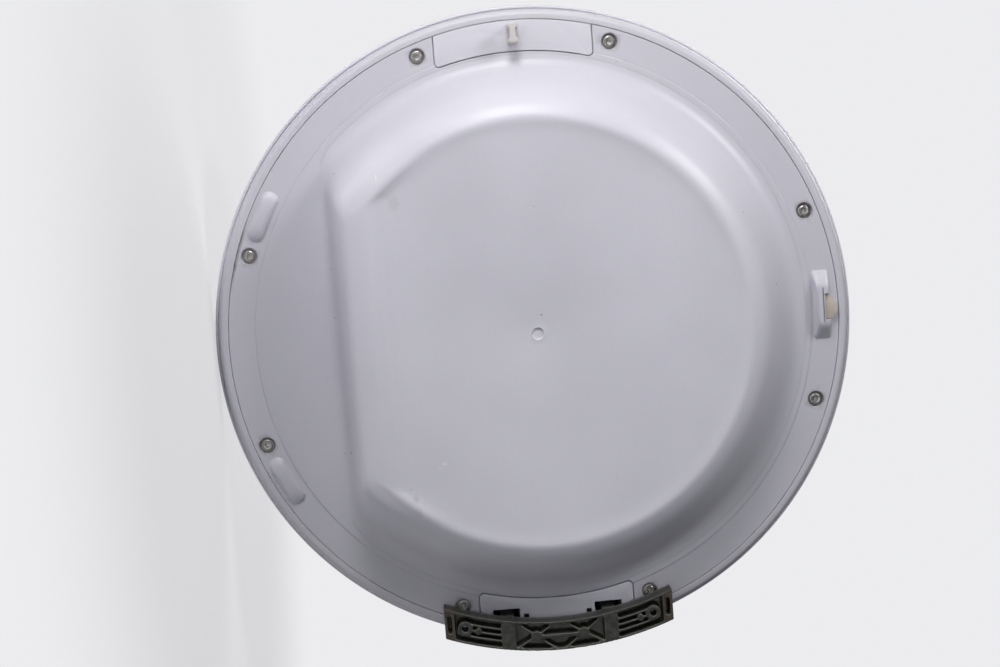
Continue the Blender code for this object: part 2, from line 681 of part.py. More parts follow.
def cover_front(distance):
    """Outer height of the gently domed front at a distance from the centre."""
    share = min(distance / COVER_SHOULDER_RADIUS, 1.0)
    return COVER_FRONT_Y + COVER_CROWN * (1 - share ** 2)


def make_outer_cover(material, parent, location):
    """Domed front shell with a rim round the ring, a ledge under it, and posts for the screws."""
    rim_inner = DOOR_RADIUS - COVER_WALL
    bead = COVER_WALL / 4
    corner = [(COVER_SHOULDER_RADIUS + COVER_CORNER * math.cos(math.pi / 2 * i / 6),
               COVER_WIDEST_Y + (COVER_FRONT_Y - COVER_WIDEST_Y) * math.sin(math.pi / 2 * i / 6))
              for i in range(7)]
    ledge_inner = RING_RADIUS - LEDGE_WIDTH
    stations = [COVER_SHOULDER_RADIUS * share for share in (0.85, 0.6, 0.3, 0.0)]
    profile = [(rim_inner, COVER_RIM_Y + bead), (rim_inner + bead, COVER_RIM_Y),
               (DOOR_RADIUS - bead, COVER_RIM_Y), (DOOR_RADIUS, COVER_RIM_Y + bead)]
    profile += corner
    profile += [(radius, cover_front(radius)) for radius in stations]
    profile += [(radius, cover_front(radius) - COVER_WALL) for radius in reversed(stations)]
    profile += [(ledge_inner - 3.2 * COVER_WALL, COVER_FRONT_Y - COVER_WALL), (ledge_inner, LEDGE_Y),
                (rim_inner, LEDGE_Y)]
    cover = place("outer_cover", revolve(profile), material, parent, location)
    for index, centre in enumerate(screw_places()):
        distance = math.hypot(*centre)
        post = rod(centre, SCREW_SHANK_RADIUS + SEAT_GAP + POST_WALL, CUP_BACK_Y + SEAT_GAP,
                   cover_front(distance) - COVER_WALL / 2)
        join(cover, f"post_{index}", post)
    for index, height in enumerate((-1, 0, 1)):
        centre = (CARRIER_SCREW_X, height * CARRIER_SCREW_SPACING)
        post = rod(centre, CARRIER_POST_RADIUS, CARRIER_Y + CARRIER_THICKNESS + SEAT_GAP,
                   cover_front(math.hypot(*centre)) - COVER_WALL / 2)
        join(cover, f"carrier_post_{index}", post)
    pilots = bmesh.new()
    for centre in screw_places():
        add_rod(pilots, centre, SCREW_SHANK_RADIUS + SEAT_GAP, 0.0,
                SCREW_RECESS_DEPTH + SCREW_LENGTH + 2 * SEAT_GAP)
    for height in (-1, 0, 1):
        add_rod(pilots, (CARRIER_SCREW_X, height * CARRIER_SCREW_SPACING), CARRIER_SCREW_RADIUS + SEAT_GAP,
                0.0, CARRIER_Y + CARRIER_SCREW_LENGTH + 2 * SEAT_GAP)
    cut(cover, "pilots", pilots)
    cut(cover, "arm_slots", arm_slots())
    opening = sector(HANDLE_INNER_RADIUS - SEAT_GAP, HANDLE_OUTER_RADIUS + SEAT_GAP, math.pi,
                     HANDLE_SPREAD + SEAT_GAP / HANDLE_MID_RADIUS)
    cut(cover, "handle_opening", prism(opening, COVER_FRONT_Y - 2 * COVER_WALL, 2 * COVER_FRONT_Y))
    seat_grow = HANDLE_LIP + SEAT_GAP
    seat = sector(HANDLE_INNER_RADIUS - seat_grow, HANDLE_OUTER_RADIUS + seat_grow, math.pi,
                  HANDLE_SPREAD + seat_grow / HANDLE_MID_RADIUS)
    seat_y = cover_front(HANDLE_OUTER_RADIUS) - HANDLE_LIP_THICKNESS
    cut(cover, "handle_seat", prism(seat, seat_y, 2 * COVER_FRONT_Y))
    return cover


def make_handle(material, parent, location):
    """Moulded finger pocket with a flat lip, set into the cover at the catch side."""
    seat_y = cover_front(HANDLE_OUTER_RADIUS) - HANDLE_LIP_THICKNESS + SEAT_GAP
    face_y = seat_y + HANDLE_LIP_THICKNESS
    lip = sector(HANDLE_INNER_RADIUS - HANDLE_LIP, HANDLE_OUTER_RADIUS + HANDLE_LIP, math.pi,
                 HANDLE_SPREAD + HANDLE_LIP / HANDLE_MID_RADIUS)
    handle = place("door_handle", prism(lip, seat_y, face_y), material, parent, location)
    pocket_floor = face_y - HANDLE_DEPTH
    bowl = sector(HANDLE_INNER_RADIUS, HANDLE_OUTER_RADIUS, math.pi, HANDLE_SPREAD)
    join(handle, "handle_bowl", prism(bowl, pocket_floor - HANDLE_WALL, (seat_y + face_y) / 2))
    wall = HANDLE_WALL
    hollow = sector(HANDLE_INNER_RADIUS + wall, HANDLE_OUTER_RADIUS - wall, math.pi,
                    HANDLE_SPREAD - wall / HANDLE_MID_RADIUS)
    shallow = sector(HANDLE_INNER_RADIUS + wall, HANDLE_OUTER_RADIUS - wall - HANDLE_GRIP, math.pi,
                     HANDLE_SPREAD - wall / HANDLE_MID_RADIUS)
    cut(handle, "handle_hollow", prism(hollow, pocket_floor, seat_y - wall / 2))
    cut(handle, "handle_mouth", prism(shallow, pocket_floor + wall, 2 * face_y))
    return handle


# Edge plates, catch peg

def clip_box(side, end, grow=0.0):
    """Corners of one clip leg under an edge plate; side picks the plate, end its end."""
    radius = (PLATE_INNER_RADIUS + SEAM_RADIUS) / 2
    x = side * math.sqrt(radius ** 2 - CLIP_OFFSET ** 2)
    half_x = CLIP_THICKNESS / 2 + grow
    half_z = CLIP_WIDTH / 2 + grow
    z = end * CLIP_OFFSET
    return (x - half_x, PANEL_WALL / 2, z - half_z), (x + half_x, FLANGE_BACK_Y + CLIP_REACH, z + half_z)


def make_edge_plate(name, side, material, parent, location):
    """Cover plate in the panel's rim, with two clip legs through the ring's flange."""
    outline = [(side * x, z) for x, z in plate_outline(0.0, PANEL_RADIUS)]
    plate = place(name, prism(outline, 0.0, PANEL_WALL), material, parent, location)
    for end in (-1, 1):
        low, high = clip_box(side, end)
        leg = box(low, high)
        join(plate, f"{name}_leg_{end}", leg)
        barb_y = FLANGE_BACK_Y + SEAT_GAP
        outer_x = low[0] - CLIP_BARB if side > 0 else high[0] + CLIP_BARB
        root_x = high[0] if side > 0 else low[0]
        barb = prism([(outer_x, barb_y), (root_x, barb_y), (root_x, high[1] - CLIP_BARB / 2)],
                     low[2], high[2], "Z")
        join(plate, f"{name}_barb_{end}", barb)
    return plate


def make_hinge_plate(material, parent, location):
    """Edge plate of the hinge side, open where the arms swing, with two small square peepholes."""
    plate = make_edge_plate("hinge_edge_plate", 1, material, parent, location)
    cut(plate, "plate_arm_slots", arm_slots())
    peeps = bmesh.new()
    for side in (-1, 1):
        middle = side * PEEP_OFFSET
        add_box(peeps, (PEEP_START_X, -PANEL_WALL, middle - PEEP_SIZE / 2),
                (PEEP_START_X + PEEP_SIZE, 2 * PANEL_WALL, middle + PEEP_SIZE / 2))
    cut(plate, "peepholes", peeps)
    return plate


def make_catch(plate_material, peg_material, screw_material, parent, location):
    """Plate of the catch side with its I-shaped peg, and the screw that clamps both to the ring."""
    plate = make_edge_plate("catch_edge_plate", -1, plate_material, parent, location)
    centre = (-PEG_RADIUS_FROM_CENTRE, 0.0)
    cut(plate, "peg_hole", rod(centre, PEG_SCREW_RADIUS + SEAT_GAP, -PANEL_WALL, 2 * PANEL_WALL))
    half_length = PEG_LENGTH / 2
    half_width = PEG_WIDTH / 2
    half_web = PEG_WEB / 2
    lower = [(half_length - 1.5 * PEG_FLANGE, -half_web), (half_length - PEG_FLANGE, -half_width),
             (half_length, -half_width)]
    right = lower + [(x, -z) for x, z in reversed(lower)]
    around = right + [(-x, -z) for x, z in right]
    outline = [(centre[0] + x, z) for x, z in around]
    body = prism(outline, -PEG_HEIGHT - SEAT_GAP, -SEAT_GAP)
    peg = place("catch_peg", body, peg_material, parent, location)
    depth = PEG_SCREW_LENGTH - FLANGE_BACK_Y - SEAT_GAP
    cut(peg, "peg_bore", rod(centre, PEG_SCREW_RADIUS + SEAT_GAP, -depth - 2 * SEAT_GAP, 0.0))
    under_head = FLANGE_BACK_Y + SEAT_GAP
    make_screw("peg_screw", centre, under_head, PEG_SCREW_RADIUS, -PEG_SCREW_LENGTH, PEG_SCREW_HEAD_RADIUS,
               PEG_SCREW_HEAD_HEIGHT, screw_material, parent, location)


# Screws

def make_screw(name, centre, seat_y, radius, length, head_radius, head_height, material, parent, location):
    """Pan-head screw; a positive length points towards +Y and its head lies on the -Y side of the seat."""
    way = 1 if length > 0 else -1
    crown = head_radius * 0.72
    end_y = seat_y + length
    crown_y = seat_y - way * head_height
    drive_y = seat_y - way * head_height * 0.35
    steps = ((0.0, end_y), (radius * 0.8, end_y), (radius, end_y - way * radius), (radius, seat_y),
             (head_radius, seat_y), (head_radius, seat_y - way * head_height * 0.45), (crown, crown_y),
             (SCREW_DRIVE_RADIUS, crown_y), (SCREW_DRIVE_RADIUS, drive_y), (0.0, drive_y))
    mesh_data = bmesh.new()
    rings = []
    for ring_radius, y in steps:
        points = circle_points(centre, ring_radius, SMALL_STEPS) if ring_radius else [centre]
        rings.append([mesh_data.verts.new((x, y, z)) for x, z in points])
    for lower, upper in zip(rings, rings[1:]):
        for i in range(SMALL_STEPS):
            j = (i + 1) % SMALL_STEPS
            corners = [lower[i % len(lower)], lower[j % len(lower)], upper[j % len(upper)],
                       upper[i % len(upper)]]
            unique = list(dict.fromkeys(corners))
            mesh_data.faces.new(unique)
    return place(name, mesh_data, material, parent, location)


# Latch

def tongue_outline():
    """Plan of the latch nose: a long flank towards -X, a short one towards +X, a rounded tip."""
    half = TONGUE_WIDTH / 2
    left = TONGUE_CENTRE_X - half
    right = TONGUE_CENTRE_X + half
    tip = TONGUE_CENTRE_X + TONGUE_NOSE_SHIFT
    root = TONGUE_BACK_Z
    top = root + TONGUE_REACH
    return [(left, root), (right, root), (right, root + 0.30 * TONGUE_REACH),
            (tip + 0.18 * TONGUE_WIDTH, top - 0.08 * TONGUE_REACH), (tip, top),
            (tip - 0.24 * TONGUE_WIDTH, top - 0.08 * TONGUE_REACH),
            (left + 0.11 * TONGUE_WIDTH, root + 0.58 * TONGUE_REACH), (left, root + 0.20 * TONGUE_REACH)]


def make_latch(tongue_material, guide_material, steel, door, location):
    """Sprung tongue in the panel's boss, its guide on two posts behind the panel, and the coil spring."""
    slide = empty("latch_slide_axis", Vector(location) + Vector((TONGUE_CENTRE_X, 0.0, TONGUE_BACK_Z)))
    slide.parent = door
    local = Vector(location) - slide.location
    nose_front = TONGUE_FLOOR_Y - TONGUE_THICKNESS
    tongue = place("latch_tongue", prism(tongue_outline(), nose_front, TONGUE_FLOOR_Y), tongue_material,
                   slide, local)
    half = TONGUE_WIDTH / 2
    left = TONGUE_CENTRE_X - half
    right = TONGUE_CENTRE_X + half
    join(tongue, "tongue_web", box((left, TONGUE_FLOOR_Y - TONGUE_THICKNESS / 2, TONGUE_BACK_Z),
                                   (right, TAIL_BACK_Y - TAIL_THICKNESS / 2, TONGUE_WEB_END_Z)))
    join(tongue, "tongue_tail", box((left, TAIL_FRONT_Y, TAIL_END_Z),
                                    (right, TAIL_BACK_Y, TONGUE_WEB_END_Z)))

    plate_low = GUIDE_STOP_Z - GUIDE_WALL
    guide = place("latch_guide", box((-GUIDE_HALF_WIDTH, GUIDE_Y, plate_low),
                                     (GUIDE_HALF_WIDTH, GUIDE_Y + GUIDE_WALL, TONGUE_WEB_END_Z)),
                  guide_material, door, location)
    front = PANEL_WALL + SEAT_GAP
    back = GUIDE_Y + GUIDE_WALL / 2
    left_face = left - TONGUE_SIDE_GAP
    right_face = right + TONGUE_SIDE_GAP
    join(guide, "guide_left", box((left_face - GUIDE_WALL, front, plate_low),
                                  (left_face, back, TONGUE_WEB_END_Z)))
    join(guide, "guide_right", box((right_face, front, plate_low),
                                   (right_face + GUIDE_WALL, back, TONGUE_WEB_END_Z)))
    join(guide, "guide_stop", box((left_face - GUIDE_WALL / 2, front, plate_low),
                                  (right_face + GUIDE_WALL / 2, back, GUIDE_STOP_Z)))
    holes = bmesh.new()
    for side in (-1, 1):
        add_rod(holes, (side * GUIDE_SCREW_X, GUIDE_SCREW_Z), GUIDE_SCREW_RADIUS + SEAT_GAP,
                0.0, 2 * (GUIDE_Y + GUIDE_WALL))
    cut(guide, "guide_holes", holes)
    for index, side in enumerate((-1, 1)):
        make_screw(f"guide_screw_{index + 1}", (side * GUIDE_SCREW_X, GUIDE_SCREW_Z),
                   GUIDE_Y + GUIDE_WALL + SEAT_GAP, GUIDE_SCREW_RADIUS, -GUIDE_SCREW_LENGTH,
                   2 * GUIDE_SCREW_RADIUS, GUIDE_WALL, steel, door, location)
    make_spring(steel, door, location)


def make_spring(material, parent, location):
    """Compression spring between the guide's stop and the tongue's tail, closed at both ends."""
    axis_y = (TAIL_FRONT_Y + TAIL_BACK_Y) / 2
    base_z = GUIDE_STOP_Z + SEAT_GAP + SPRING_WIRE_RADIUS
    height = SPRING_LENGTH - 2 * SPRING_WIRE_RADIUS
    per_turn = 10
    count = SPRING_TURNS * per_turn
    mesh_data = bmesh.new()
    rings = []
    for i in range(count + 1):
        turn = 2 * math.pi * i / per_turn
        share = i / count
        rise = height * (share + math.sin(2 * math.pi * share) * -0.08)
        outward = Vector((math.cos(turn), math.sin(turn), 0.0))
        centre = Vector((TONGUE_CENTRE_X, axis_y, base_z + rise)) + outward * SPRING_RADIUS
        ring = []
        for side in range(6):
            around = 2 * math.pi * side / 6
            ring.append(mesh_data.verts.new(centre + outward * SPRING_WIRE_RADIUS * math.cos(around)
                                            + Vector((0, 0, 1)) * SPRING_WIRE_RADIUS * math.sin(around)))
        rings.append(ring)
    for lower, upper in zip(rings, rings[1:]):
        for i in range(6):
            j = (i + 1) % 6
            mesh_data.faces.new((lower[i], lower[j], upper[j], upper[i]))
    mesh_data.faces.new(rings[0])
    mesh_data.faces.new(rings[-1])
    return place("latch_spring", mesh_data, material, parent, location)


# Hinge

def arm_outline():
    """Goose-neck of a hinge arm in the XY plane, from inside the bracket to the eye on the axis."""
    root_y = BRACKET_SEAT_Y + BRACKET_DEPTH / 2
    crown_y = HINGE_Y + EYE_RADIUS
    corner = NECK_THICKNESS * 0.7
    eye = circle_points((HINGE_X, HINGE_Y), EYE_RADIUS, 10, -math.pi * 0.62, math.pi * 1.12)
    crown = circle_points((NECK_INNER_X + corner, crown_y - corner), corner, 4, math.pi / 2, math.pi / 2)
    throat_y = HINGE_Y - EYE_RADIUS * 0.9
    return [(NECK_OUTER_X, root_y), (NECK_OUTER_X, throat_y - 0.001), (NECK_OUTER_X + 0.0012, throat_y)] \
        + eye + crown + [(NECK_INNER_X, root_y)]


def rib_box(start, end, width, low, high):
    """Straight upright rib between two (x, z) points."""
    a = Vector(start)
    b = Vector(end)
    across = (b - a).normalized()
    side = Vector((-across.y, across.x)) * width / 2
    return prism([tuple(a - side), tuple(b - side), tuple(b + side), tuple(a + side)], low, high)


def bracket_sector(inner, outer, half_height, steps=20):
    """Crescent between two radii, cut off level at both ends."""
    outer_angle = math.asin(half_height / outer)
    inner_angle = math.asin(half_height / inner)
    outside = circle_points((0.0, 0.0), outer, steps, -outer_angle, 2 * outer_angle)
    inside = circle_points((0.0, 0.0), inner, steps, -inner_angle, 2 * inner_angle)
    return outside + inside[::-1]


def make_bracket(material, location):
    """Die-cast hinge bracket: crescent pan with ribs and bosses, and two goose-neck arms."""
    bracket = place("hinge_bracket", prism(bracket_sector(BRACKET_INNER_RADIUS, BRACKET_OUTER_RADIUS,
                                                          BRACKET_HALF_HEIGHT), BRACKET_SEAT_Y, BRACKET_TOP_Y),
                    material, None, location)
    wall_in = BRACKET_INNER_RADIUS + BRACKET_WALL
    wall_out = BRACKET_OUTER_RADIUS - BRACKET_WALL
    pan_half = BRACKET_HALF_HEIGHT - BRACKET_LOBE_WIDTH
    floor_y = BRACKET_TOP_Y - BRACKET_FLOOR
    open_y = BRACKET_SEAT_Y - BRACKET_DEPTH
    cut(bracket, "pan", prism(bracket_sector(wall_in, wall_out, pan_half), open_y, floor_y))
    rib_low = BRACKET_SEAT_Y + BRACKET_RIB_DROP
    rib_high = BRACKET_TOP_Y - BRACKET_FLOOR / 2
    middle = BRACKET_MID_RADIUS
    bulk = BRACKET_WALL / 2
    pad_edge = ARM_OFFSET - ARM_WIDTH / 2
    for side in (-1, 1):
        boss = (math.sqrt(middle ** 2 - BRACKET_BOSS_OFFSET ** 2), side * BRACKET_BOSS_OFFSET)
        join(bracket, f"boss_{side}", rod(boss, BRACKET_BOSS_RADIUS, BRACKET_SEAT_Y, rib_high))
        for wall_radius in (wall_in - bulk, wall_out + bulk):
            far = (math.sqrt(wall_radius ** 2 - pad_edge ** 2), side * pad_edge)
            join(bracket, f"rib_far_{side}_{wall_radius:.3f}",
                 rib_box(boss, far, BRACKET_RIB, rib_low, rib_high))
            near = (wall_radius, side * BRACKET_BOSS_OFFSET * 0.18)
            join(bracket, f"rib_near_{side}_{wall_radius:.3f}",
                 rib_box(boss, near, BRACKET_RIB, rib_low, rib_high))
        arc_low = math.asin((ARM_OFFSET + ARM_WIDTH / 2 - bulk) / middle)
        arc_high = math.asin((BRACKET_SCREW_OFFSET - BRACKET_SCREW_BOSS_RADIUS / 2) / middle)
        for share in (0.28, 0.52, 0.76):
            radius = wall_in + (wall_out - wall_in) * share
            arc = sector(radius - BRACKET_RIB / 2, radius + BRACKET_RIB / 2, side * (arc_low + arc_high) / 2,
                         (arc_high - arc_low) / 2, 6)
            join(bracket, f"long_rib_{side}_{share}", prism(arc, rib_low, rib_high))
        ejector = (math.sqrt(middle ** 2 - BRACKET_EJECTOR_OFFSET ** 2), side * BRACKET_EJECTOR_OFFSET)
        join(bracket, f"ejector_{side}", rod(ejector, BRACKET_EJECTOR_RADIUS, BRACKET_SEAT_Y, rib_high,
                                             steps=12))
        screw = (math.sqrt(middle ** 2 - BRACKET_SCREW_OFFSET ** 2), side * BRACKET_SCREW_OFFSET)
        join(bracket, f"screw_boss_{side}", rod(screw, BRACKET_SCREW_BOSS_RADIUS, BRACKET_SEAT_Y, rib_high))
        low_z, high_z = sorted((side * (ARM_OFFSET - ARM_WIDTH / 2), side * (ARM_OFFSET + ARM_WIDTH / 2)))
        join(bracket, f"pad_{side}", box((NECK_INNER_X + NECK_THICKNESS / 2, BRACKET_SEAT_Y, low_z),
                                         (middle + BRACKET_WALL * 3.4, rib_high, high_z)))
        join(bracket, f"arm_{side}", prism(arm_outline(), low_z, high_z, "Z"))
    spine = box((middle - BRACKET_RIB, BRACKET_SEAT_Y, -BRACKET_BOSS_OFFSET),
                (middle + BRACKET_RIB, rib_high, BRACKET_BOSS_OFFSET))
    join(bracket, "spine", spine)
    holes = bmesh.new()
    pockets = bmesh.new()
    bores = bmesh.new()
    for side in (-1, 1):
        screw = (math.sqrt(middle ** 2 - BRACKET_SCREW_OFFSET ** 2), side * BRACKET_SCREW_OFFSET)
        add_rod(holes, screw, BRACKET_SCREW_HOLE_RADIUS, open_y, BRACKET_GAP)
        pocket_z = side * (pan_half + BRACKET_LOBE_WIDTH / 2)
        pocket_x = math.sqrt(middle ** 2 - pocket_z ** 2)
        add_box(pockets, (pocket_x - BRACKET_POCKET_LENGTH / 2, open_y, pocket_z - BRACKET_POCKET_WIDTH / 2),
                (pocket_x + BRACKET_POCKET_LENGTH / 2, floor_y, pocket_z + BRACKET_POCKET_WIDTH / 2))
        add_rod(bores, (HINGE_X, HINGE_Y), BUSH_RADIUS + PIN_CLEARANCE, side * ARM_OFFSET - ARM_WIDTH,
                side * ARM_OFFSET + ARM_WIDTH, "Z", PIN_STEPS)
    cut(bracket, "screw_holes", holes)
    cut(bracket, "pockets", pockets)
    cut(bracket, "bores", bores)
    return bracket


def make_carrier(material, parent, location):
    """Hinge carrier inside the door: a plate on three posts, with a pair of ears for each arm."""
    back = CARRIER_Y + CARRIER_THICKNESS
    lean = math.asin(CARRIER_HALF_HEIGHT / CARRIER_RADIUS)
    plate = circle_points((0.0, 0.0), CARRIER_RADIUS, 10, -lean, 2 * lean)
    plate += [(CARRIER_INNER_X, CARRIER_HALF_HEIGHT), (CARRIER_INNER_X, -CARRIER_HALF_HEIGHT)]
    carrier = place("hinge_carrier", prism(plate, CARRIER_Y, back), material, parent, location)
    root_x = HINGE_X - 3 * EAR_RADIUS
    tip = circle_points((HINGE_X, HINGE_Y), EAR_RADIUS, 10, math.pi * 0.5, -math.pi * 1.25)
    root_y = CARRIER_Y + CARRIER_THICKNESS / 2
    outline = [(root_x, root_y), (HINGE_X - EAR_RADIUS / 2, root_y)] + tip
    for side in (-1, 1):
        for end in (-1, 1):
            middle = side * ARM_OFFSET + end * EAR_OFFSET
            join(carrier, f"ear_{side}_{end}", prism(outline, middle - EAR_THICKNESS / 2,
                                                     middle + EAR_THICKNESS / 2, "Z"))
    bores = bmesh.new()
    for side in (-1, 1):
        add_rod(bores, (HINGE_X, HINGE_Y), PIN_RADIUS + PIN_CLEARANCE, side * ARM_OFFSET - SLOT_WIDTH,
                side * ARM_OFFSET + SLOT_WIDTH, "Z", PIN_STEPS)
    cut(carrier, "pin_bores", bores)
    holes = bmesh.new()
    for height in (-1, 0, 1):
        add_rod(holes, (CARRIER_SCREW_X, height * CARRIER_SCREW_SPACING), CARRIER_SCREW_RADIUS + SEAT_GAP,
                0.0, 2 * back)
    cut(carrier, "carrier_holes", holes)
    return carrier


def make_hinge(zinc, steel, nylon, door, location):
    """Bracket, carrier, pins and bushes of the hinge."""
    make_bracket(zinc, DOOR_CENTRE)
    make_carrier(steel, door, location)
    pin_half = EAR_OFFSET + EAR_THICKNESS / 2
    for label, side in (("lower", -1), ("upper", 1)):
        middle = side * ARM_OFFSET
        place(f"hinge_pin_{label}", rod((HINGE_X, HINGE_Y), PIN_RADIUS, middle - pin_half, middle + pin_half,
                                        "Z", PIN_STEPS), steel, door, location)
        bush = place(f"hinge_bush_{label}", rod((HINGE_X, HINGE_Y), BUSH_RADIUS, middle - ARM_WIDTH / 2,
                                                middle + ARM_WIDTH / 2, "Z", PIN_STEPS), nylon, None, DOOR_CENTRE)
        cut(bush, f"bush_bore_{label}", rod((HINGE_X, HINGE_Y), PIN_RADIUS + PIN_CLEARANCE,
                                            middle - ARM_WIDTH, middle + ARM_WIDTH, "Z", PIN_STEPS))
    for index, height in enumerate((-1, 0, 1)):
        make_screw(f"carrier_screw_{index + 1}", (CARRIER_SCREW_X, height * CARRIER_SCREW_SPACING),
                   CARRIER_Y - SEAT_GAP, CARRIER_SCREW_RADIUS, CARRIER_SCREW_LENGTH, CARRIER_HEAD_RADIUS,
                   CARRIER_HEAD_HEIGHT, steel, door, location)


def build():
    """Make every piece of the door and its hinge bracket."""
    clear_scene()
    white = plastic("white_gloss", WHITE, 0.28)
    warm = plastic("warm_white", WARM_WHITE, 0.35)
    ivory = plastic("ivory", IVORY, 0.45)
    zinc = plastic("zinc_casting", ZINC, 0.55, 0.7)
    steel = plastic("plated_steel", STEEL, 0.35, 1.0)
    nylon = plastic("nylon", NYLON, 0.5)
    door = empty("door_hinge_axis", HINGE_AXIS)
    location = DOOR_CENTRE - HINGE_AXIS
    make_outer_cover(white, door, location)
    make_handle(white, door, location)
    make_door_ring(white, door, location)
    make_inner_panel(white, door, location)
    make_hinge_plate(white, door, location)
    make_catch(white, warm, steel, door, location)
    for index, centre in enumerate(screw_places()):
        make_screw(f"panel_screw_{index + 1}", centre, SCREW_RECESS_DEPTH - SEAT_GAP, SCREW_SHANK_RADIUS,
                   SCREW_LENGTH, SCREW_HEAD_RADIUS, SCREW_HEAD_HEIGHT, steel, door, location)
    make_latch(ivory, nylon, steel, door, location)
    make_hinge(zinc, steel, nylon, door, location)


build()
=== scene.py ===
import math

import bmesh
import bpy
from mathutils import Matrix, Vector


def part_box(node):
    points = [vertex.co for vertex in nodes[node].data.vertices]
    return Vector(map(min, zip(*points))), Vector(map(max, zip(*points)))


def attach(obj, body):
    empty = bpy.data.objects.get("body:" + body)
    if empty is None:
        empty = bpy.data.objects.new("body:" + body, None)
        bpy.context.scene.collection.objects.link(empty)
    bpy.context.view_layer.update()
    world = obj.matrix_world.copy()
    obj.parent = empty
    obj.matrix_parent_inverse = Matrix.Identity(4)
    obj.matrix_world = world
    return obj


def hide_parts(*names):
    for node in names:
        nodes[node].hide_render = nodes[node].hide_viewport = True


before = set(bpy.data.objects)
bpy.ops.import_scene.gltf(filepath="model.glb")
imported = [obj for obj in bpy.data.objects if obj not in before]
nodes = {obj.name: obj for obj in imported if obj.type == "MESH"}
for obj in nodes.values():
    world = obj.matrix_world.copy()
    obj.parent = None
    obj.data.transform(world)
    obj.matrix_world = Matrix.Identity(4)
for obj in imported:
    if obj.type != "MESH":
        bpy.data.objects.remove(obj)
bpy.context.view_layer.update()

# Camera
# Straight at the drum side of the door, with the hinge side at the bottom of the picture, as the photograph
# has it.  The door's own axes in the picture are +Z to the right, -X up and -Y towards the camera.
cover_low, cover_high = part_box("outer_cover")
rim_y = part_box("catch_edge_plate")[0].y
DOOR_CENTRE = Vector(((cover_low.x + cover_high.x) / 2, rim_y, (cover_low.z + cover_high.z) / 2))
DOOR_RADIUS = (cover_high.z - cover_low.z) / 2
CAMERA_DISTANCE = 1.287
CAMERA_SHIFT = Vector((0.0264, 0.0039, 0.0))
CAMERA_PITCH = math.radians(5.59)
CAMERA_YAW = math.radians(1.78)
CAMERA_ROLL = math.radians(4.81)
SENSOR_WIDTH = 36.0
LENS_PER_SENSOR = 1.72
PICTURE_AXES = Matrix(((0, -1, 0), (0, 0, -1), (1, 0, 0)))

view_turn = (Matrix.Rotation(CAMERA_YAW, 3, "Y") @ Matrix.Rotation(CAMERA_PITCH, 3, "X")
             @ Matrix.Rotation(CAMERA_ROLL, 3, "Z"))
eye = view_turn.transposed() @ (Vector((0.0, 0.0, CAMERA_DISTANCE)) - CAMERA_SHIFT)
camera_data = bpy.data.cameras.new("photo_camera")
camera_data.sensor_width = SENSOR_WIDTH
camera_data.lens = LENS_PER_SENSOR * SENSOR_WIDTH
camera = bpy.data.objects.new("photo_camera", camera_data)
camera.matrix_world = (Matrix.Translation(DOOR_CENTRE + PICTURE_AXES @ eye)
                       @ (PICTURE_AXES @ view_turn.transposed()).to_4x4())
bpy.context.collection.objects.link(camera)
bpy.context.scene.camera = camera
bpy.context.scene.view_settings.view_transform = "Standard"

# Floor, world and studio lights
# A pale floor just under the door, a pale surround, two soft key lights that graze the drum side from the
# catch side, and weak fills for the other sides.
FLOOR_GAP = 0.0005
FLOOR_SIZE = 30.0
FLOOR_COLOUR = (0.80, 0.80, 0.81)
FLOOR_FADE_START = 0.26
FLOOR_FADE_END = 0.62
FLOOR_SHADE = 0.30
FLOOR_ROUGHNESS = 0.9
SURROUND_COLOUR = (0.84, 0.84, 0.86)
AMBIENT_COLOUR = (0.90, 0.93, 1.0)
AMBIENT_STRENGTH = 0.052
KEY_TINT = (1.0, 0.985, 1.0)


def feed(node, values):
    """Give inputs of a node, by name or number, a value or a link from a socket."""
    for socket, value in values.items():
        if isinstance(value, bpy.types.NodeSocket):
            node.id_data.links.new(value, node.inputs[socket])
        else:
            node.inputs[socket].default_value = value
    return node


def add_node(tree, kind, values=None, **settings):
    """New node with its settings and what feeds its inputs."""
    node = tree.nodes.new(kind)
    for name, value in settings.items():
        setattr(node, name, value)
    return feed(node, values or {})


def new_material(name):
    """New material with its tree, its shader, and the object's own coordinates as a socket."""
    material = bpy.data.materials.new(name)
    material.use_nodes = True
    tree = material.node_tree
    place = add_node(tree, "ShaderNodeTexCoord").outputs["Object"]
    return material, tree, tree.nodes["Principled BSDF"], place


def ramp_socket(tree, source, low, high, start=0.0, end=1.0):
    """Smooth clamped step of a value from low..high to start..end."""
    values = {"Value": source, "From Min": low, "From Max": high, "To Min": start, "To Max": end}
    return add_node(tree, "ShaderNodeMapRange", values, interpolation_type="SMOOTHSTEP").outputs["Result"]


def mix_shaders(tree, share, first, second):
    """Mix of two shader sockets."""
    return add_node(tree, "ShaderNodeMixShader", {0: share, 1: first, 2: second}).outputs[0]


def camera_sees(tree, seen, unseen):
    """Shader that the camera sees as one thing, and that lights the object as another."""
    camera_ray = add_node(tree, "ShaderNodeLightPath").outputs["Is Camera Ray"]
    return mix_shaders(tree, camera_ray, unseen.outputs[0], seen.outputs[0])


world = bpy.data.worlds.new("studio")
world.use_nodes = True
world_tree = world.node_tree
surround = add_node(world_tree, "ShaderNodeBackground", {"Color": (*SURROUND_COLOUR, 1.0), "Strength": 1.0})
ambient = feed(world_tree.nodes["Background"], {"Color": (*AMBIENT_COLOUR, 1.0),
                                                "Strength": AMBIENT_STRENGTH})
feed(world_tree.nodes["World Output"], {"Surface": camera_sees(world_tree, surround, ambient)})
bpy.context.scene.world = world

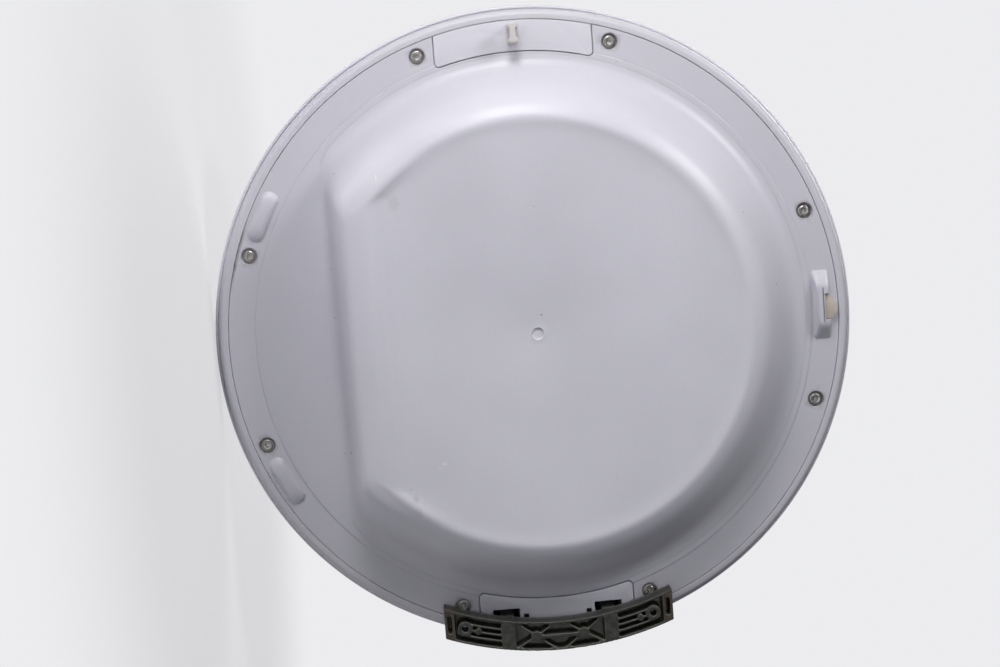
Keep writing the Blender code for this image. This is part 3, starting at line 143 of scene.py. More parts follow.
floor_middle = Vector((DOOR_CENTRE.x, DOOR_CENTRE.y, cover_low.z - FLOOR_GAP))
floor_mesh = bpy.data.meshes.new("floor")
floor_shape = bmesh.new()
bmesh.ops.create_grid(floor_shape, x_segments=1, y_segments=1, size=FLOOR_SIZE,
                      matrix=Matrix.Translation(floor_middle))
floor_shape.to_mesh(floor_mesh)
floor_shape.free()
floor = bpy.data.objects.new("floor", floor_mesh)
bpy.context.collection.objects.link(floor)
floor_material, floor_tree, floor_shader, floor_place = new_material("pale_floor")
feed(floor_shader, {"Base Color": (*FLOOR_COLOUR, 1.0), "Roughness": FLOOR_ROUGHNESS})
far_floor = add_node(floor_tree, "ShaderNodeEmission", {"Color": (*SURROUND_COLOUR, 1.0), "Strength": 1.0})
floor_reach = add_node(floor_tree, "ShaderNodeVectorMath", {0: floor_place, 1: floor_middle},
                       operation="DISTANCE").outputs["Value"]
floor_fade = ramp_socket(floor_tree, floor_reach, FLOOR_FADE_START, FLOOR_FADE_END, 1.0 - FLOOR_SHADE)
floor_blend = mix_shaders(floor_tree, floor_fade, floor_shader.outputs[0],
                          camera_sees(floor_tree, far_floor, floor_shader))
feed(floor_tree.nodes["Material Output"], {"Surface": floor_blend})
floor_mesh.materials.append(floor_material)


def area_light(name, offset, size, power, colour=(1.0, 1.0, 1.0)):
    """Square soft light at an offset from the door's centre, turned towards that centre."""
    data = bpy.data.lights.new(name, "AREA")
    data.size = size
    data.energy = power
    data.color = colour
    lamp = bpy.data.objects.new(name, data)
    lamp.location = DOOR_CENTRE + Vector(offset)
    lamp.rotation_mode = "QUATERNION"
    lamp.rotation_quaternion = (-Vector(offset)).to_track_quat("-Z", "Y")
    bpy.context.collection.objects.link(lamp)


area_light("right_key", (-0.84, -0.66, 1.10), size=0.40, power=8.4, colour=KEY_TINT)
area_light("left_key", (-1.00, -0.62, -0.03), size=0.38, power=5.3, colour=KEY_TINT)
area_light("front_fill", (0.1, -1.9, 0.12), size=0.60, power=2.0, colour=(0.93, 0.96, 1.0))
area_light("back_key", (-0.5, 1.9, 0.9), size=1.2, power=28.0)
area_light("back_fill", (0.6, 1.9, -0.8), size=1.2, power=9.0, colour=(0.95, 0.97, 1.0))

# Outer cover
# The domed front shell of glossy white ABS, injection moulded, with a bead round its rim, a ledge that
# carries the ring, and hollow posts for the screws.  It is turned by a Geometry Nodes rule.
WHITE = (0.79, 0.787, 0.865)
# The crest white and the rim white are lit and shaded copies of the plain white: painted light on the bulge's
# crest, and painted shade at the rim's level and over the whole ring.
LIT_CREST_WHITE = (0.83, 0.827, 0.908)
SHADED_RIM_WHITE = (0.700, 0.697, 0.766)
YELLOWED = (0.73, 0.70, 0.64)
GRIME = (0.16, 0.125, 0.085)
# White of the chip marks and of the painted glint on the bulge.
CHIP_AND_GLINT_WHITE = (0.93, 0.93, 0.93)
# Heights of the crest and of the rim, between which the panel's colour goes from painted light to painted
# shade.
CREST_RISE, RIM_RISE = 0.045, 0.006
DULLING = 0.92
GRAIN_SHARE = 0.11
PLASTIC_IOR = 1.48
BROAD_SCALE, CLOUD_SCALE, SWELL_SCALE = 5.5, 14.0, 6.0
PATCH_SCALE, FINE_SCALE, GRAIN_SCALE = 48.0, 420.0, 900.0
COVER_WALL = 0.0025
COVER_RIM_Y = 0.0135
COVER_WIDEST_Y = 0.0200
COVER_FRONT_Y = 0.0330
COVER_CORNER = 0.0140
COVER_CROWN = 0.0070
COVER_LEDGE_Y = 0.0253
COVER_LEDGE_RADIUS = 0.2330
COVER_LEDGE_RUN = 0.008
TURN_STEPS = 272
ARM_OFFSET = 0.0388
SLOT_WIDTH = 0.0206
SLOT_START_X = 0.2121
SLOT_START_Y = -0.005
SLOT_DEPTH_Y = 0.0217
SCREW_CIRCLE = 0.2192
SCREW_SPREAD = math.asin(0.0712 / SCREW_CIRCLE)
SCREW_HOLE_RADIUS = 0.0023
POST_RADIUS = 0.0055
POST_FOOT_Y = 0.0058
PILOT_END_Y = 0.0176
CARRIER_SCREW_X = 0.2100
CARRIER_SCREW_SPACING = 0.0230
CARRIER_POST_FOOT_Y = 0.0273
CARRIER_PILOT_END_Y = 0.0304
HANDLE_INNER_RADIUS = 0.1950
HANDLE_OUTER_RADIUS = 0.2210
HANDLE_SPREAD = math.radians(12.5)
HANDLE_LIP = 0.0030
HANDLE_LIP_THICKNESS = 0.0014
HANDLE_CUT_START_Y = 0.028
HANDLE_STEPS = 24
OUTSIDE_Y = 0.060
SEAT_GAP = 0.0003


def noise_socket(tree, source, scale, detail=3.0, roughness=0.5):
    """Noise pattern on the object's own coordinates."""
    return add_node(tree, "ShaderNodeTexNoise", {"Vector": source, "Scale": scale, "Detail": detail,
                                                 "Roughness": roughness}).outputs["Fac"]


def math_socket(tree, operation, first, second=0.0):
    """One or two values, sockets or numbers, put through an operation."""
    return add_node(tree, "ShaderNodeMath", {0: first, 1: second}, operation=operation).outputs[0]


def mix_colour(tree, share, first, second):
    """Mix of two colours, each a socket or three numbers, by the mix node's sockets for colours."""
    first, second = ((*value, 1.0) if isinstance(value, tuple) else value for value in (first, second))
    node = add_node(tree, "ShaderNodeMix", {"Factor": share, 6: first, 7: second}, data_type="RGBA")
    return node.outputs[2]


def bump_socket(tree, height, distance, strength, previous=None):
    """Bump of a height pattern, over an earlier bump if there is one."""
    values = {"Height": height, "Distance": distance, "Strength": strength}
    if previous is not None:
        values["Normal"] = previous
    return add_node(tree, "ShaderNodeBump", values).outputs["Normal"]


def spot_share(tree, source, marks):
    """Share of small marks, each with its place in the picture, its half sizes and its depth of tone."""
    total = None
    for right, up, half_width, half_height, tone in marks:
        middle = DOOR_CENTRE + PICTURE_AXES @ Vector((right, up, 0.0))
        stretch = (1 / half_height, 0.0, 1 / half_width)
        offset = add_node(tree, "ShaderNodeVectorMath", {0: source, 1: middle}, operation="SUBTRACT")
        scaled = add_node(tree, "ShaderNodeVectorMath", {0: offset.outputs[0], 1: stretch},
                          operation="MULTIPLY")
        gap = add_node(tree, "ShaderNodeVectorMath", {0: scaled.outputs[0]}, operation="LENGTH")
        share = ramp_socket(tree, gap.outputs["Value"], 0.3, 1.0, tone, 0.0)
        total = share if total is None else math_socket(tree, "MAXIMUM", total, share)
    return total


def used_plastic(name, white, yellow_share, roughness, marks=(), chips_and_glints=(), shaded_rim_white=None):
    """Worn white moulding: light yellowing, handling smudges, dirt from the vertex attribute, dark marks, and
    white chip marks with one painted glint among them.

    With a shaded rim white, the colour goes from that painted shade at the rim's level to the plain white at
    the crest, which is painted light there.
    """
    material, tree, shader, place = new_material(name)
    broad = noise_socket(tree, place, BROAD_SCALE, 1.5)
    cloud = noise_socket(tree, place, CLOUD_SCALE, 1.0)
    tone = white
    if shaded_rim_white:
        # Painted light and shade by height: the lighter crest white high on the bulge, the darker rim white
        # at the rim's level.
        height = add_node(tree, "ShaderNodeSeparateXYZ", {0: place}).outputs["Y"]
        low = ramp_socket(tree, height, DOOR_CENTRE.y - CREST_RISE, DOOR_CENTRE.y - RIM_RISE)
        tone = mix_colour(tree, low, white, shaded_rim_white)
    aged = math_socket(tree, "MULTIPLY", ramp_socket(tree, broad, 0.25, 0.85), yellow_share)
    colour = mix_colour(tree, aged, tone, YELLOWED)
    dulled = tuple(channel * DULLING for channel in shaded_rim_white or white)
    colour = mix_colour(tree, ramp_socket(tree, cloud, 0.15, 0.90, 0.0, 0.35), colour, dulled)
    grime_and_painted_light = add_node(tree, "ShaderNodeAttribute", attribute_name="grime_and_painted_light").outputs["Fac"]
    patch = ramp_socket(tree, noise_socket(tree, place, PATCH_SCALE, 6.0, 0.7), 0.30, 0.68, 0.25, 1.0)
    dirt = math_socket(tree, "MULTIPLY", grime_and_painted_light, patch)
    colour = mix_colour(tree, dirt, colour, GRIME)
    # Dark marks, then white chip marks and the painted glint.
    for spots, tint in ((marks, GRIME), (chips_and_glints, CHIP_AND_GLINT_WHITE)):
        if spots:
            colour = mix_colour(tree, spot_share(tree, place, spots), colour, tint)
    grain = ramp_socket(tree, noise_socket(tree, place, GRAIN_SCALE, 1.0), 0.25, 0.75, 0.0, GRAIN_SHARE)
    smudge = math_socket(tree, "ADD", ramp_socket(tree, cloud, 0.1, 0.9, 0.0, 0.08), roughness - 0.03)
    worn = math_socket(tree, "ADD", smudge, math_socket(tree, "MULTIPLY", dirt, 0.35))
    waves = bump_socket(tree, noise_socket(tree, place, SWELL_SCALE, 0.0), 0.0008, 0.12)
    fine = bump_socket(tree, noise_socket(tree, place, FINE_SCALE, 2.0), 0.00005, 0.15, waves)
    feed(shader, {"Base Color": mix_colour(tree, grain, colour, dulled), "Roughness": worn, "Normal": fine,
                  "IOR": PLASTIC_IOR})
    return material


cover_plastic = used_plastic("cover_white", WHITE, 0.22, 0.32)


def door_object(name, shape, material, move=DOOR_CENTRE):
    """Mesh object of a shape that was drawn about the door's centre."""
    bmesh.ops.translate(shape, verts=shape.verts, vec=move)
    mesh = bpy.data.meshes.new(name)
    shape.to_mesh(mesh)
    shape.free()
    mesh.materials.append(material)
    obj = bpy.data.objects.new(name, mesh)
    bpy.context.collection.objects.link(obj)
    return obj


def settle(obj):
    """Take the mesh that the modifiers make, and drop them."""
    depsgraph = bpy.context.evaluated_depsgraph_get()
    finished = bpy.data.meshes.new_from_object(obj.evaluated_get(depsgraph), depsgraph=depsgraph)
    obj.modifiers.clear()
    obj.data = finished


def carve(obj, shape, operation="DIFFERENCE"):
    """Cut a helper shape out of a piece, or fuse it on, and drop the helper."""
    bmesh.ops.recalc_face_normals(shape, faces=shape.faces)
    helper = door_object("helper", shape, obj.data.materials[0])
    modifier = obj.modifiers.new("helper", "BOOLEAN")
    modifier.operation = operation
    modifier.object = helper
    settle(obj)
    bpy.data.objects.remove(helper)


def smooth(obj, angle=32.0):
    """Round surfaces shaded smooth, real edges kept."""
    obj.data.shade_smooth()
    obj.data.set_sharp_from_angle(angle=math.radians(angle))


def arc_points(centre, radius, steps, start=0.0, sweep=2 * math.pi):
    """Points on an arc; a full turn leaves out its repeated last point."""
    count = steps if sweep >= 2 * math.pi - 1e-9 else steps + 1
    turn = sweep / steps
    return [(centre[0] + radius * math.cos(start + turn * i), centre[1] + radius * math.sin(start + turn * i))
            for i in range(count)]


def bridge(shape, rings):
    """Faces between like rings of vertices; a ring may be one vertex, repeated."""
    for lower, upper in zip(rings, rings[1:]):
        for i in range(len(lower)):
            j = (i + 1) % len(lower)
            shape.faces.new(dict.fromkeys((lower[i], lower[j], upper[j], upper[i])))


def add_stack(shape, outlines, depths):
    """Closed body through like (x, z) outlines, each at its own Y."""
    rings = [[shape.verts.new((x, depth, z)) for x, z in outline] for outline, depth in zip(outlines, depths)]
    bridge(shape, rings)
    shape.faces.new(rings[0][::-1])
    shape.faces.new(rings[-1])
    return shape


def add_slab(shape, outline, low, high):
    """Straight body of one outline along Y."""
    return add_stack(shape, [outline, outline], [low, high])


def slab_object(name, outline, low, high, material):
    """Piece that starts as a straight body of one outline."""
    shape = add_slab(bmesh.new(), outline, low, high)
    bmesh.ops.recalc_face_normals(shape, faces=shape.faces)
    return door_object(name, shape, material)


def add_post(shape, centre, radius, low, high, steps=40):
    """Round post along Y."""
    return add_slab(shape, arc_points(centre, radius, steps), low, high)


def add_block(shape, low, high):
    """Plain block between two corners."""
    outline = [(low[0], low[2]), (high[0], low[2]), (high[0], high[2]), (low[0], high[2])]
    return add_slab(shape, outline, low[1], high[1])


def round_edges(obj, width, segments, angle):
    """Round the edges that turn by more than an angle in degrees."""
    modifier = obj.modifiers.new("rounding", "BEVEL")
    modifier.width = width
    modifier.segments = segments
    modifier.limit_method = "ANGLE"
    modifier.angle_limit = math.radians(angle)
    settle(obj)


def quarter(steps, first=0):
    """Sine and cosine at even steps of a quarter turn."""
    turns = [math.pi / 2 * i / steps for i in range(first, steps + 1)]
    return [(math.sin(turn), math.cos(turn)) for turn in turns]


def polar(radius, angle):
    """Point at an angle from +X towards +Z."""
    return (radius * math.cos(angle), radius * math.sin(angle))


def screw_places():
    """Centres of the eight panel screws, two about each axis of the door."""
    return [polar(SCREW_CIRCLE, quarter * math.pi / 2 + side * SCREW_SPREAD)
            for quarter in range(4) for side in (-1, 1)]


def arm_slots(shape):
    """The two slots in which the hinge arms swing, from the drum side through the rim."""
    for side in (-1, 1):
        middle = side * ARM_OFFSET
        add_block(shape, (SLOT_START_X, SLOT_START_Y, middle - SLOT_WIDTH / 2),
                  (DOOR_RADIUS + COVER_WALL, SLOT_DEPTH_Y, middle + SLOT_WIDTH / 2))
    return shape


def handle_outline(grow, grip=0.0):
    """Ring sector round the handle's pocket, grown on all sides and narrowed at its outer arc by a grip."""
    spread = HANDLE_SPREAD + grow / HANDLE_OUTER_RADIUS
    outer = HANDLE_OUTER_RADIUS + grow - grip
    inner = HANDLE_INNER_RADIUS - grow
    return (arc_points((0.0, 0.0), outer, HANDLE_STEPS, math.pi - spread, 2 * spread)
            + arc_points((0.0, 0.0), inner, HANDLE_STEPS, math.pi + spread, -2 * spread))


def rule_tree(name, result, **inputs):
    """New Geometry Nodes tree with its typed inputs and one result, and the sockets of its inputs."""
    tree = bpy.data.node_groups.new(name, "GeometryNodeTree")
    for label, kind in inputs.items():
        tree.interface.new_socket(label, in_out="INPUT", socket_type=f"NodeSocket{kind}")
    tree.interface.new_socket(result, in_out="OUTPUT", socket_type="NodeSocketGeometry")
    return tree, add_node(tree, "NodeGroupInput").outputs


def end_rule(tree, geometry, material):
    """Real geometry in its material as the result of a tree."""
    realized = add_node(tree, "GeometryNodeRealizeInstances", {0: geometry})
    coated = add_node(tree, "GeometryNodeSetMaterial", {"Geometry": realized.outputs[0],
                                                        "Material": material})
    add_node(tree, "NodeGroupOutput", {0: coated.outputs[0]})


def apply_rule(obj, tree, **values):
    """Make an object's mesh by a tree, with a value for each of its inputs."""
    modifier = obj.modifiers.new(tree.name, "NODES")
    modifier.node_group = tree
    for item in tree.interface.items_tree:
        if item.name in values:
            modifier[item.identifier] = values[item.name]
    settle(obj)


def turning_rule():
    """Geometry Nodes tree that turns a closed section of (radius, depth) points about the door's axis."""
    tree, given = rule_tree("turned_moulding", "moulding", section="Geometry", steps="Int",
                            section_points="Int", material="Material")

    def whole(operation, first, second):
        """Two whole numbers put through an operation."""
        node = add_node(tree, "FunctionNodeIntegerMath", {0: first, 1: second}, operation=operation)
        return node.outputs[0]

    columns = whole("ADD", given["section_points"], 1)
    grid = add_node(tree, "GeometryNodeMeshGrid", {"Size X": 1.0, "Size Y": 1.0, "Vertices Y": columns,
                                                   "Vertices X": whole("ADD", given["steps"], 1)})
    index = add_node(tree, "GeometryNodeInputIndex").outputs[0]
    station = whole("MODULO", whole("MODULO", index, columns), given["section_points"])
    position = add_node(tree, "GeometryNodeInputPosition").outputs[0]
    sample = add_node(tree, "GeometryNodeSampleIndex",
                      {"Geometry": given["section"], "Value": position, "Index": station},
                      data_type="FLOAT_VECTOR", domain="POINT")
    parts = add_node(tree, "ShaderNodeSeparateXYZ", {0: sample.outputs["Value"]}).outputs
    share = math_socket(tree, "DIVIDE", whole("DIVIDE_FLOOR", index, columns), given["steps"])
    angle = math_socket(tree, "MULTIPLY", share, 2 * math.pi)
    across = math_socket(tree, "MULTIPLY", parts["X"], math_socket(tree, "COSINE", angle))
    along = math_socket(tree, "MULTIPLY", parts["X"], math_socket(tree, "SINE", angle))
    place = add_node(tree, "ShaderNodeCombineXYZ", {"X": across, "Y": parts["Y"], "Z": along})
    moved = add_node(tree, "GeometryNodeSetPosition", {"Geometry": grid.outputs["Mesh"],
                                                       "Position": place.outputs[0]})
    merged = add_node(tree, "GeometryNodeMergeByDistance", {"Geometry": moved.outputs[0], "Distance": 1e-6})
    end_rule(tree, merged.outputs[0], given["material"])
    return tree


turning = turning_rule()


def turned(name, section, material):
    """Moulding turned from a closed section of (radius, depth) points."""
    shape = bmesh.new()
    loop = [shape.verts.new((radius, depth, 0.0)) for radius, depth in section]
    for first, second in zip(loop, loop[1:] + loop[:1]):
        shape.edges.new((first, second))
    obj = door_object(name, shape, material, Vector())
    apply_rule(obj, turning, steps=TURN_STEPS, section_points=len(section), material=material)
    shape = bmesh.new()
    shape.from_mesh(obj.data)
    bmesh.ops.dissolve_degenerate(shape, dist=1e-7, edges=shape.edges)
    bmesh.ops.recalc_face_normals(shape, faces=shape.faces)
    bmesh.ops.translate(shape, verts=shape.verts, vec=DOOR_CENTRE)
    shape.to_mesh(obj.data)
    shape.free()
    return obj


def cover_front(distance):
    """Outer height of the domed front at a distance from the centre."""
    share = min(distance / (DOOR_RADIUS - COVER_CORNER), 1.0)
    return COVER_FRONT_Y + COVER_CROWN * (1 - share ** 2)


rim_inner = DOOR_RADIUS - COVER_WALL
bead = COVER_WALL / 2
shoulder = DOOR_RADIUS - COVER_CORNER
cover_section = arc_points((DOOR_RADIUS - bead, COVER_RIM_Y + bead), bead, 10, math.pi, math.pi)
cover_section += [(shoulder + COVER_CORNER * run, COVER_WIDEST_Y + (COVER_FRONT_Y - COVER_WIDEST_Y) * rise)
                  for rise, run in quarter(16)]
dome = [shoulder * (1 - i / 16) for i in range(1, 17)]
cover_section += [(radius, cover_front(radius)) for radius in dome]
cover_section += [(radius, cover_front(radius) - COVER_WALL) for radius in reversed(dome)]
cover_section += [(COVER_LEDGE_RADIUS - COVER_LEDGE_RUN, COVER_FRONT_Y - COVER_WALL),
                  (COVER_LEDGE_RADIUS, COVER_LEDGE_Y), (rim_inner, COVER_LEDGE_Y)]
outer_cover = turned("outer_cover_shell", cover_section, cover_plastic)

posts = bmesh.new()
pilots = bmesh.new()
for place in screw_places():
    add_post(posts, place, POST_RADIUS, POST_FOOT_Y, cover_front(math.hypot(*place)) - COVER_WALL / 2)
    add_post(pilots, place, SCREW_HOLE_RADIUS, 0.0, PILOT_END_Y)
for height in (-1, 0, 1):
    place = (CARRIER_SCREW_X, height * CARRIER_SCREW_SPACING)
    add_post(posts, place, POST_RADIUS, CARRIER_POST_FOOT_Y, cover_front(math.hypot(*place)) - COVER_WALL / 2)
    add_post(pilots, place, SCREW_HOLE_RADIUS, 0.0, CARRIER_PILOT_END_Y)
carve(outer_cover, posts, "UNION")
carve(outer_cover, pilots)
carve(outer_cover, arm_slots(bmesh.new()))
HANDLE_SEAT_Y = cover_front(HANDLE_OUTER_RADIUS) - HANDLE_LIP_THICKNESS
carve(outer_cover, add_slab(bmesh.new(), handle_outline(SEAT_GAP), HANDLE_CUT_START_Y, OUTSIDE_Y))
carve(outer_cover, add_slab(bmesh.new(), handle_outline(HANDLE_LIP + SEAT_GAP), HANDLE_SEAT_Y, OUTSIDE_Y))
smooth(outer_cover)
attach(outer_cover, "door")
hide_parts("outer_cover")

# Door handle
# A white moulded finger pocket with a thin lip round its mouth, set into the front of the cover at the side
# opposite the hinge.  The far half of the pocket reaches under the lip as a grip.
HANDLE_DEPTH = 0.0145
HANDLE_WALL = 0.0022
HANDLE_GRIP = 0.0070
HANDLE_ROUNDING = 0.0006
LIP_EDGE = 0.0005
handle_plastic = used_plastic("handle_white", WHITE, 0.35, 0.30)
lip_low = HANDLE_SEAT_Y + SEAT_GAP
lip_high = lip_low + HANDLE_LIP_THICKNESS
pocket_floor = lip_high - HANDLE_DEPTH
lip_levels = ((lip_low, 0.0), (lip_high - LIP_EDGE, 0.0), (lip_high - 0.3 * LIP_EDGE, 0.3 * LIP_EDGE),
              (lip_high, LIP_EDGE))
handle_shape = add_stack(bmesh.new(), [handle_outline(HANDLE_LIP - inset) for _, inset in lip_levels],
                         [level for level, _ in lip_levels])
handle = door_object("door_handle_pocket", handle_shape, handle_plastic)
bowl = add_slab(bmesh.new(), handle_outline(0.0), pocket_floor - HANDLE_WALL, (lip_low + lip_high) / 2)
carve(handle, bowl, "UNION")
for grip, low, high in ((0.0, pocket_floor, lip_low - HANDLE_WALL / 2),
                        (HANDLE_GRIP, pocket_floor + HANDLE_WALL, OUTSIDE_Y)):
    carve(handle, add_slab(bmesh.new(), handle_outline(-HANDLE_WALL, grip), low, high))
round_edges(handle, HANDLE_ROUNDING, 3, 50.0)
smooth(handle, 40.0)
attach(handle, "door")
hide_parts("door_handle")

# Door ring
# The white ring between the panel and the cover: a raised lip at the seam, a rolled shoulder, a side wall
# down to the cover's ledge, and a flange behind the panel with holes for cups, clips, latch and peg screw.
RING_SEAM_RADIUS = 0.22868
RING_RADIUS = 0.2370
RING_WALL = 0.0022
RING_LIP = 0.0005
RING_LIP_WIDTH = 0.0030
RING_SHOULDER_Y = 0.0110
RING_DEPTH = 0.0250
FLANGE_INNER_RADIUS = 0.1970
FLANGE_FRONT_Y = 0.0028
FLANGE_BACK_Y = 0.0050
CUP_RADIUS = 0.0080
PEG_X = -0.2182
PEEP_OFFSET = 0.0240
PEEP_SIZE = 0.0040
PEEP_START_X = 0.2168
PEG_BORE_RADIUS = 0.0018
CLIP_OFFSET = 0.0530
CLIP_X = math.sqrt(0.21735 ** 2 - CLIP_OFFSET ** 2)
CLIP_HOLE = (0.0015, 0.0031)
GUIDE_GAP = 0.0015
RING_CUT_Y = 0.010

# The ring is coloured in the darker shaded rim white, a copy of the plain white with painted shade.
ring_plastic = used_plastic("ring_white", SHADED_RIM_WHITE, 0.30, 0.42)
lip_end = RING_SEAM_RADIUS + RING_LIP_WIDTH
lip_round = RING_LIP * 1.2
ring_section = [(FLANGE_INNER_RADIUS, FLANGE_FRONT_Y), (RING_SEAM_RADIUS, FLANGE_FRONT_Y),
                (RING_SEAM_RADIUS, RING_LIP)]
ring_section += arc_points((RING_SEAM_RADIUS + lip_round, lip_round - RING_LIP), lip_round, 5, math.pi,
                           math.pi / 2)
ring_section += [(lip_end + (RING_RADIUS - lip_end) * rise,
                  -RING_LIP + (RING_SHOULDER_Y + RING_LIP) * (1 - run)) for rise, run in quarter(16)]
ring_section += [(RING_RADIUS, RING_DEPTH), (RING_RADIUS - RING_WALL, RING_DEPTH),
                 (RING_RADIUS - RING_WALL, RING_SHOULDER_Y), (RING_RADIUS - 1.6 * RING_WALL, FLANGE_BACK_Y),
                 (FLANGE_INNER_RADIUS, FLANGE_BACK_Y)]
door_ring = turned("door_ring_moulding", ring_section, ring_plastic)


def add_clips(shape, side, half_sizes, low, high):
    """Blocks at the two clips of an edge plate, each given by its half sizes along X and Z."""
    for end in (-1, 1):
        add_block(shape, (side * CLIP_X - half_sizes[0], low, end * CLIP_OFFSET - half_sizes[1]),
                  (side * CLIP_X + half_sizes[0], high, end * CLIP_OFFSET + half_sizes[1]))
    return shape


def add_peeps(shape, low, high):
    """The two small square windows between the arm slots."""
    for end in (-1, 1):
        middle = end * PEEP_OFFSET
        add_block(shape, (PEEP_START_X, low, middle - PEEP_SIZE / 2),
                  (PEEP_START_X + PEEP_SIZE, high, middle + PEEP_SIZE / 2))
    return shape


holes = bmesh.new()
for place in screw_places():
    add_post(holes, place, CUP_RADIUS + SEAT_GAP, 0.0, RING_CUT_Y)
guide_low, guide_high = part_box("latch_guide")
window_low = guide_low - DOOR_CENTRE
window_high = guide_high - DOOR_CENTRE
add_block(holes, (window_low.x - GUIDE_GAP, 0.0, window_low.z - GUIDE_GAP),
          (window_high.x + GUIDE_GAP, RING_CUT_Y, window_high.z + GUIDE_GAP))
for side in (-1, 1):
    add_clips(holes, side, CLIP_HOLE, 0.0, RING_CUT_Y)
add_post(holes, (PEG_X, 0.0), PEG_BORE_RADIUS, 0.0, RING_CUT_Y)
add_peeps(holes, 0.0, RING_CUT_Y)
carve(door_ring, holes)
carve(door_ring, arm_slots(bmesh.new()))


def paint_grime(obj, rule):
    """Store on each vertex how much grime a rule finds at its place about the door's centre."""
    layer = obj.data.attributes.new("grime_and_painted_light", "FLOAT", "POINT")
    values = [min(max(rule(vertex.co - DOOR_CENTRE), 0.0), 1.0) for vertex in obj.data.vertices]
    layer.data.foreach_set("value", values)


def band(value, middle, half):
    """One at the middle of a band, falling smoothly to zero at its edges."""
    share = min(abs(value - middle) / half, 1.0)
    return (1 - share * share) ** 2


def ring_grime(place):
    """Dirt in the seam beside the panel and at the foot of the shoulder."""
    distance = math.hypot(place.x, place.z)
    brown = 0.55 * band(place.x, -0.072, 0.040) if place.z < 0 else 0.0
    seam = 0.25 + brown if abs(distance - RING_SEAM_RADIUS) < 0.0003 and place.y > 0.0001 else 0.0
    foot = 0.75 * band(place.y, RING_DEPTH - 0.010, 0.006)
    return max(seam, foot)


paint_grime(door_ring, ring_grime)
smooth(door_ring)
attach(door_ring, "door")
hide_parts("door_ring")

# Inner panel
# The drum-side moulding in white ABS: a flat rim with eight screw recesses, notches for the edge plates,
# two support pads and the latch boss, and a D-shaped bulge with a shallow conical dish and a gate dimple.
PANEL_WALL = 0.0025
PANEL_RADIUS = 0.2284
PANEL_EDGE = 0.0004
STEP_RADIUS = 0.2085
STEP_RISE = 0.0006
RIM_RADII = (PANEL_RADIUS - 0.0010, 0.2262, 0.2240, 0.2215, 0.2190, 0.2165, 0.2140, 0.2118, 0.2102, 0.2093,
             STEP_RADIUS + 0.0003, STEP_RADIUS)
DISH_ARC = 0.1460
DISH_CENTRE_RISE = 0.0400
DISH_SLOPE = 0.0547
DIMPLE_RADIUS = 0.0045
DIMPLE_DEPTH = 0.0008
PLATEAU_BLEND = 0.0450
FOOT_ARC, FOOT_CHORD, FOOT_CORNER = 0.2037, 0.1525, 0.0480
BULGE_GUIDES = ((FOOT_ARC, FOOT_CHORD, FOOT_CORNER, STEP_RISE, STEP_RISE),
                (0.1989, 0.1497, 0.0440, 0.0016, 0.0019), (0.1941, 0.1470, 0.0400, 0.0042, 0.0052),
                (0.1902, 0.1450, 0.0365, 0.0084, 0.0108),
                (0.1867, 0.1432, 0.0335, 0.0141, 0.0180), (0.1820, 0.1411, 0.0295, 0.0222, 0.0278),
                (0.1770, 0.1390, 0.0250, 0.0306, 0.0377), (0.1740, 0.1374, 0.0220, 0.0352, 0.0430),
                (0.1705, 0.1357, 0.0190, 0.0397, 0.0466), (0.1670, 0.1339, 0.0165, 0.0432, 0.0486),
                (0.1635, 0.1317, 0.0140, 0.0457, 0.0496), (0.1600, 0.1284, 0.0120, 0.0475, 0.0502),
                (0.1572, 0.1234, 0.0105, 0.0486, 0.0507), (0.1548, 0.1170, 0.0095, 0.0490, 0.0508))
BANK_GUIDES = ((0.1525, 0.1120, 0.0100, 0.3), (0.1495, 0.1062, 0.0115, 0.65), (DISH_ARC, 0.1005, 0.0140, 1.0))
BULGE_ARC_STEPS = 200
BULGE_CORNER_STEPS = 22
BULGE_CHORD_STEPS = 44


def bulge_outline(radius, chord, corner):
    """D-shaped outline: an arc over the top, a straight chord below, and a fillet between them."""
    across = corner - chord
    along = math.sqrt((radius - corner) ** 2 - across ** 2)
    lean = math.atan2(across, along)
    arc = arc_points((0.0, 0.0), radius, BULGE_ARC_STEPS, lean, math.pi - 2 * lean)
    left = arc_points((-along, across), corner, BULGE_CORNER_STEPS, math.pi - lean, math.pi / 2 + lean)
    right = [(-x, z) for x, z in reversed(left)]
    chord_line = [(along * (2 * i / BULGE_CHORD_STEPS - 1), -chord) for i in range(1, BULGE_CHORD_STEPS)]
    return arc + left[1:] + chord_line + right[:-1]


def round_ring(radius, rise):
    """Round ring of (x, z, rise) points at one height, which answer to those of the D-shaped outlines."""
    lean = math.asin((FOOT_CORNER - FOOT_CHORD) / (FOOT_ARC - FOOT_CORNER))
    rest = 2 * BULGE_CORNER_STEPS + BULGE_CHORD_STEPS
    arc = arc_points((0.0, 0.0), radius, BULGE_ARC_STEPS, lean, math.pi - 2 * lean)
    below = arc_points((0.0, 0.0), radius, rest, math.pi - lean, math.pi + 2 * lean)
    return [Vector((x, z, rise)) for x, z in arc + below[1:-1]]


def between(start, end, share):
    """Value part of the way from one size to another."""
    return start + (end - start) * share


def dish_rise(distance):
    """Height of the shallow conical dish at a distance from the centre."""
    return DISH_CENTRE_RISE + DISH_SLOPE * distance


